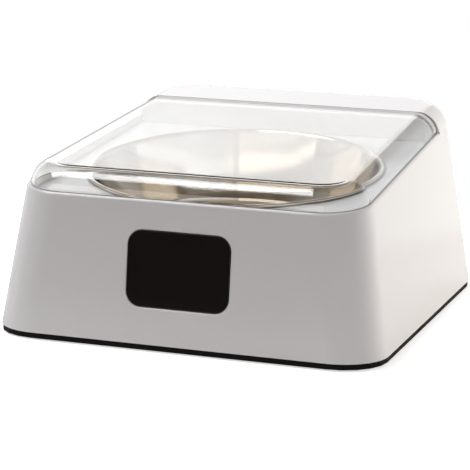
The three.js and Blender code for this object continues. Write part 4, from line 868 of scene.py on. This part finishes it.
# %% boards, cells, cables and lenses
board = material("board_green", (0.02, 0.14, 0.05), Roughness=0.35, IOR=1.5)
vary(board, noise(board, 400), "Roughness", 0.3, 0.5)
sleeve = material("cell_sleeve", (0.05, 0.1, 0.22), Roughness=0.25)
vary(sleeve, noise(sleeve, 90), "Roughness", 0.2, 0.35)
cable = material("cable_sleeve", (0.03, 0.03, 0.033), Roughness=0.55)
vary(cable, noise(cable, 300), "Roughness", 0.48, 0.65)
lens_clear = material("clear_lens", (0.85, 0.9, 0.92), Roughness=0.05, IOR=1.5, Transmission_Weight=0.8)
vary(lens_clear, noise(lens_clear, 200), "Roughness", 0.03, 0.08)
lens_dark = material("dark_lens", (0.01, 0.006, 0.007), Roughness=0.08)
vary(lens_dark, noise(lens_dark, 200), "Roughness", 0.05, 0.12)
print("inner finishes", [mat.name for mat in (board, sleeve, cable, lens_clear, lens_dark)])

# %% [markdown]
# ## Finishes onto pieces
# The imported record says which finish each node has, and the new pieces carry the same words. The lid alone
# has three finishes, and clearing its slots would forget which face has which, so that is kept and put back.

# %% give every node its material
finishes = {
    "white_abs": white, "black_abs": black, "clear_pc": clear, "polished_steel": steel, "plain_steel": plain,
    "brass": brass, "acetal": acetal, "black_gloss": gloss, "board_green": board, "clear_lens": lens_clear,
    "dark_lens": lens_dark, "cell_sleeve": sleeve, "rubber": rubber, "cable_sleeve": cable,
}


def dressed(piece, *mats):
    """A piece with these materials in its slots, and each face in the slot that it had."""
    kept = [face.material_index for face in piece.data.polygons]
    piece.data.materials.clear()
    for mat in mats:
        piece.data.materials.append(mat)
    piece.data.polygons.foreach_set("material_index", [min(slot, len(mats) - 1) for slot in kept])


for part in frame["record"]["subparts"]:
    dressed(nodes[part["node"]], finishes[part["material_slot"]])
for piece, finish in ((housing, white), (cover, white), (bowl, steel), (window, gloss)):
    dressed(piece, finish)
dressed(lid, clear, foot_painted_shade, margin_painted_over_shade)

# %% [markdown]
# ## Studio
# The photograph's studio has one large bright wall behind the object, and is darker and browner on the
# camera's side, which is why the window mirrors black and the steel mirrors brown. Lamps do the first. For
# the second the room that polished surfaces mirror is shaded by direction, from dark at the front left to
# white at the back, with a brown ceiling. Two tan panels in front give the bowl its light fields. A real
# room could be modelled round the object instead, but it would also light it, and these two are easier to
# set apart. To the camera, also through the clear lid, the room is plain white from every side.

# %% walls and ceiling that are mirrored
FILL, FILL_COLOR = 0.155, (1.0, 0.94, 0.93, 1)
DARK_SIDE = Vector((-0.5, -0.86, 0.0))
MIRRORED = [
    (0.0, (1.0, 1.0, 1.0)), (0.5, (0.9, 0.88, 0.85)),
    (0.8, (0.34, 0.28, 0.21)), (0.97, (0.13, 0.1, 0.075)),
]
CEILING, CEILING_FROM, CEILING_FULL = (0.22, 0.17, 0.12, 1), 0.3, 0.55

world = bpy.data.worlds.new("room")
bpy.context.scene.world = world
world.use_nodes = True
room = world.node_tree
fill = room.nodes["Background"]
fill.inputs["Color"].default_value = FILL_COLOR
fill.inputs["Strength"].default_value = FILL
direction = added(room, "TexCoord")
facing = added(room, "VectorMath")
facing.operation = "DOT_PRODUCT"
facing.inputs[1].default_value = DARK_SIDE.normalized()
room.links.new(direction.outputs["Generated"], facing.inputs[0])
mirrored = added(room, "Background")
room.links.new(ramped(room, facing.outputs["Value"], MIRRORED), mirrored.inputs["Color"])
compass = added(room, "SeparateXYZ")
room.links.new(direction.outputs["Generated"], compass.inputs["Vector"])
height = spread(room, compass.outputs["Z"], From_Min=CEILING_FROM, From_Max=CEILING_FULL)
ceiling = added(room, "Background", Color=CEILING)
walls = mixed(room, height, mirrored.outputs["Background"], ceiling.outputs["Background"])
print("walls and ceiling", len(room.nodes), "nodes")

# %% tan panels
PANELS = [  # turn to the left of the front in degrees, from and to; height, from and to; colour
    (-15, 52, 0.06, 0.45, (1.7, 1.48, 1.22)),
    (-26, -20, -0.1, 0.35, (1.1, 0.95, 0.8)),
]

westward = reckoned(room, "MULTIPLY", compass.outputs["X"], -1.0)
frontward = reckoned(room, "MULTIPLY", compass.outputs["Y"], -1.0)
turn = reckoned(room, "ARCTAN2", westward, frontward)
for turn_from, turn_to, low, high, color in PANELS:
    inside = reckoned(room, "GREATER_THAN", turn, math.radians(turn_from))
    for source, test, limit in ((turn, "LESS_THAN", math.radians(turn_to)),
                                (compass.outputs["Z"], "GREATER_THAN", low),
                                (compass.outputs["Z"], "LESS_THAN", high)):
        inside = reckoned(room, "MULTIPLY", inside, reckoned(room, test, source, limit))
    panel = added(room, "Background", Color=(*color, 1))
    walls = mixed(room, inside, walls, panel.outputs["Background"])
print("tan panels", len(PANELS))

# %% which room each kind of ray meets
HALF_A_BOUNCE = 0.5

rays = added(room, "LightPath")
polished = reckoned(room, "MAXIMUM", rays.outputs["Is Glossy Ray"], rays.outputs["Is Transmission Ray"])
not_mirrored = reckoned(room, "LESS_THAN", rays.outputs["Glossy Depth"], HALF_A_BOUNCE)
straight_through = reckoned(room, "MULTIPLY", rays.outputs["Is Transmission Ray"], not_mirrored)
plain_white = reckoned(room, "MAXIMUM", rays.outputs["Is Camera Ray"], straight_through)
backdrop = added(room, "Background", Color=(1, 1, 1, 1))
surface = mixed(room, polished, fill.outputs["Background"], walls)
surface = mixed(room, plain_white, surface, backdrop.outputs["Background"])
room.links.new(surface, room.nodes["World Output"].inputs["Surface"])
print("room", len(room.nodes), "nodes")

# %% [markdown]
# The lamps are soft boxes. The bright wall stands behind the object and rakes over the lid, the overhead one
# draws the long light lines on it, and two on the right light the side wall and the front corner. Those two
# are hidden from polished surfaces, in which they would show as extra squares.

# %% lamps
MIDDLE = (0.0, 0.0, 0.06)


def softbox(name, place, aim_at, width, height, watts, color=(1, 1, 1)):
    """A rectangular area lamp turned towards a point."""
    lamp = bpy.data.lights.new(name, "AREA")
    lamp.shape = "RECTANGLE"
    lamp.size, lamp.size_y = width, height
    lamp.energy = watts
    lamp.color = color
    holder = bpy.data.objects.new(name, lamp)
    holder.visible_camera = False
    bpy.context.scene.collection.objects.link(holder)
    holder.location = place
    holder.rotation_mode = "QUATERNION"
    holder.rotation_quaternion = (Vector(aim_at) - Vector(place)).to_track_quat("-Z", "Y")
    print(name, watts, "W")
    return holder


softbox("bright wall", (-0.66, 1.75, 0.8), MIDDLE, 1.2, 0.75, 2.05)
softbox("overhead", (-0.635, -0.23, 1.15), (-0.635, -0.22, 0.0), 0.9, 0.58, 12.0, (0.97, 0.98, 1.0))
right_side = softbox("right side", (0.95, 1.05, 0.25), MIDDLE, 1.0, 0.5, 20.0, (1.0, 0.965, 0.9))
front_right = softbox("front right", (1.0, -0.8, 0.35), MIDDLE, 0.5, 0.5, 1.6, (1.0, 0.93, 0.91))
for lamp in (right_side, front_right):
    lamp.visible_glossy = False
    lamp.visible_transmission = False

# %% [markdown]
# The floor is plain and pale. A white floor under soft light renders light grey, and more light would burn
# out the white housing, so it glows a little instead, to the camera alone. The object's shadow stays on it.

# %% floor
FLOOR_HALF, FLOOR_GLOW = 0.42, 0.6

floor_mesh = bmesh.new()
bmesh.ops.create_grid(floor_mesh, x_segments=1, y_segments=1, size=FLOOR_HALF)
floor = made("floor", floor_mesh)
pale = material("pale_floor", (0.9, 0.9, 0.9), Roughness=0.6)
vary(pale, noise(pale, 5), "Roughness", 0.55, 0.65)
tree = pale.node_tree
path = added(tree, "LightPath")
glow = added(tree, "Emission")
glow_strength = reckoned(tree, "MULTIPLY", path.outputs["Is Camera Ray"], FLOOR_GLOW)
tree.links.new(glow_strength, glow.inputs["Strength"])
total = added(tree, "AddShader")
tree.links.new(tree.nodes["Principled BSDF"].outputs["BSDF"], total.inputs[0])
tree.links.new(glow.outputs["Emission"], total.inputs[1])
tree.links.new(total.outputs["Shader"], tree.nodes["Material Output"].inputs["Surface"])
floor.data.materials.append(pale)
print("floor", 2 * FLOOR_HALF, "m wide")

# %% [markdown]
# ## Finish
# The Standard view shows colours as they are written.

# %% view settings
bpy.context.scene.view_settings.view_transform = "Standard"
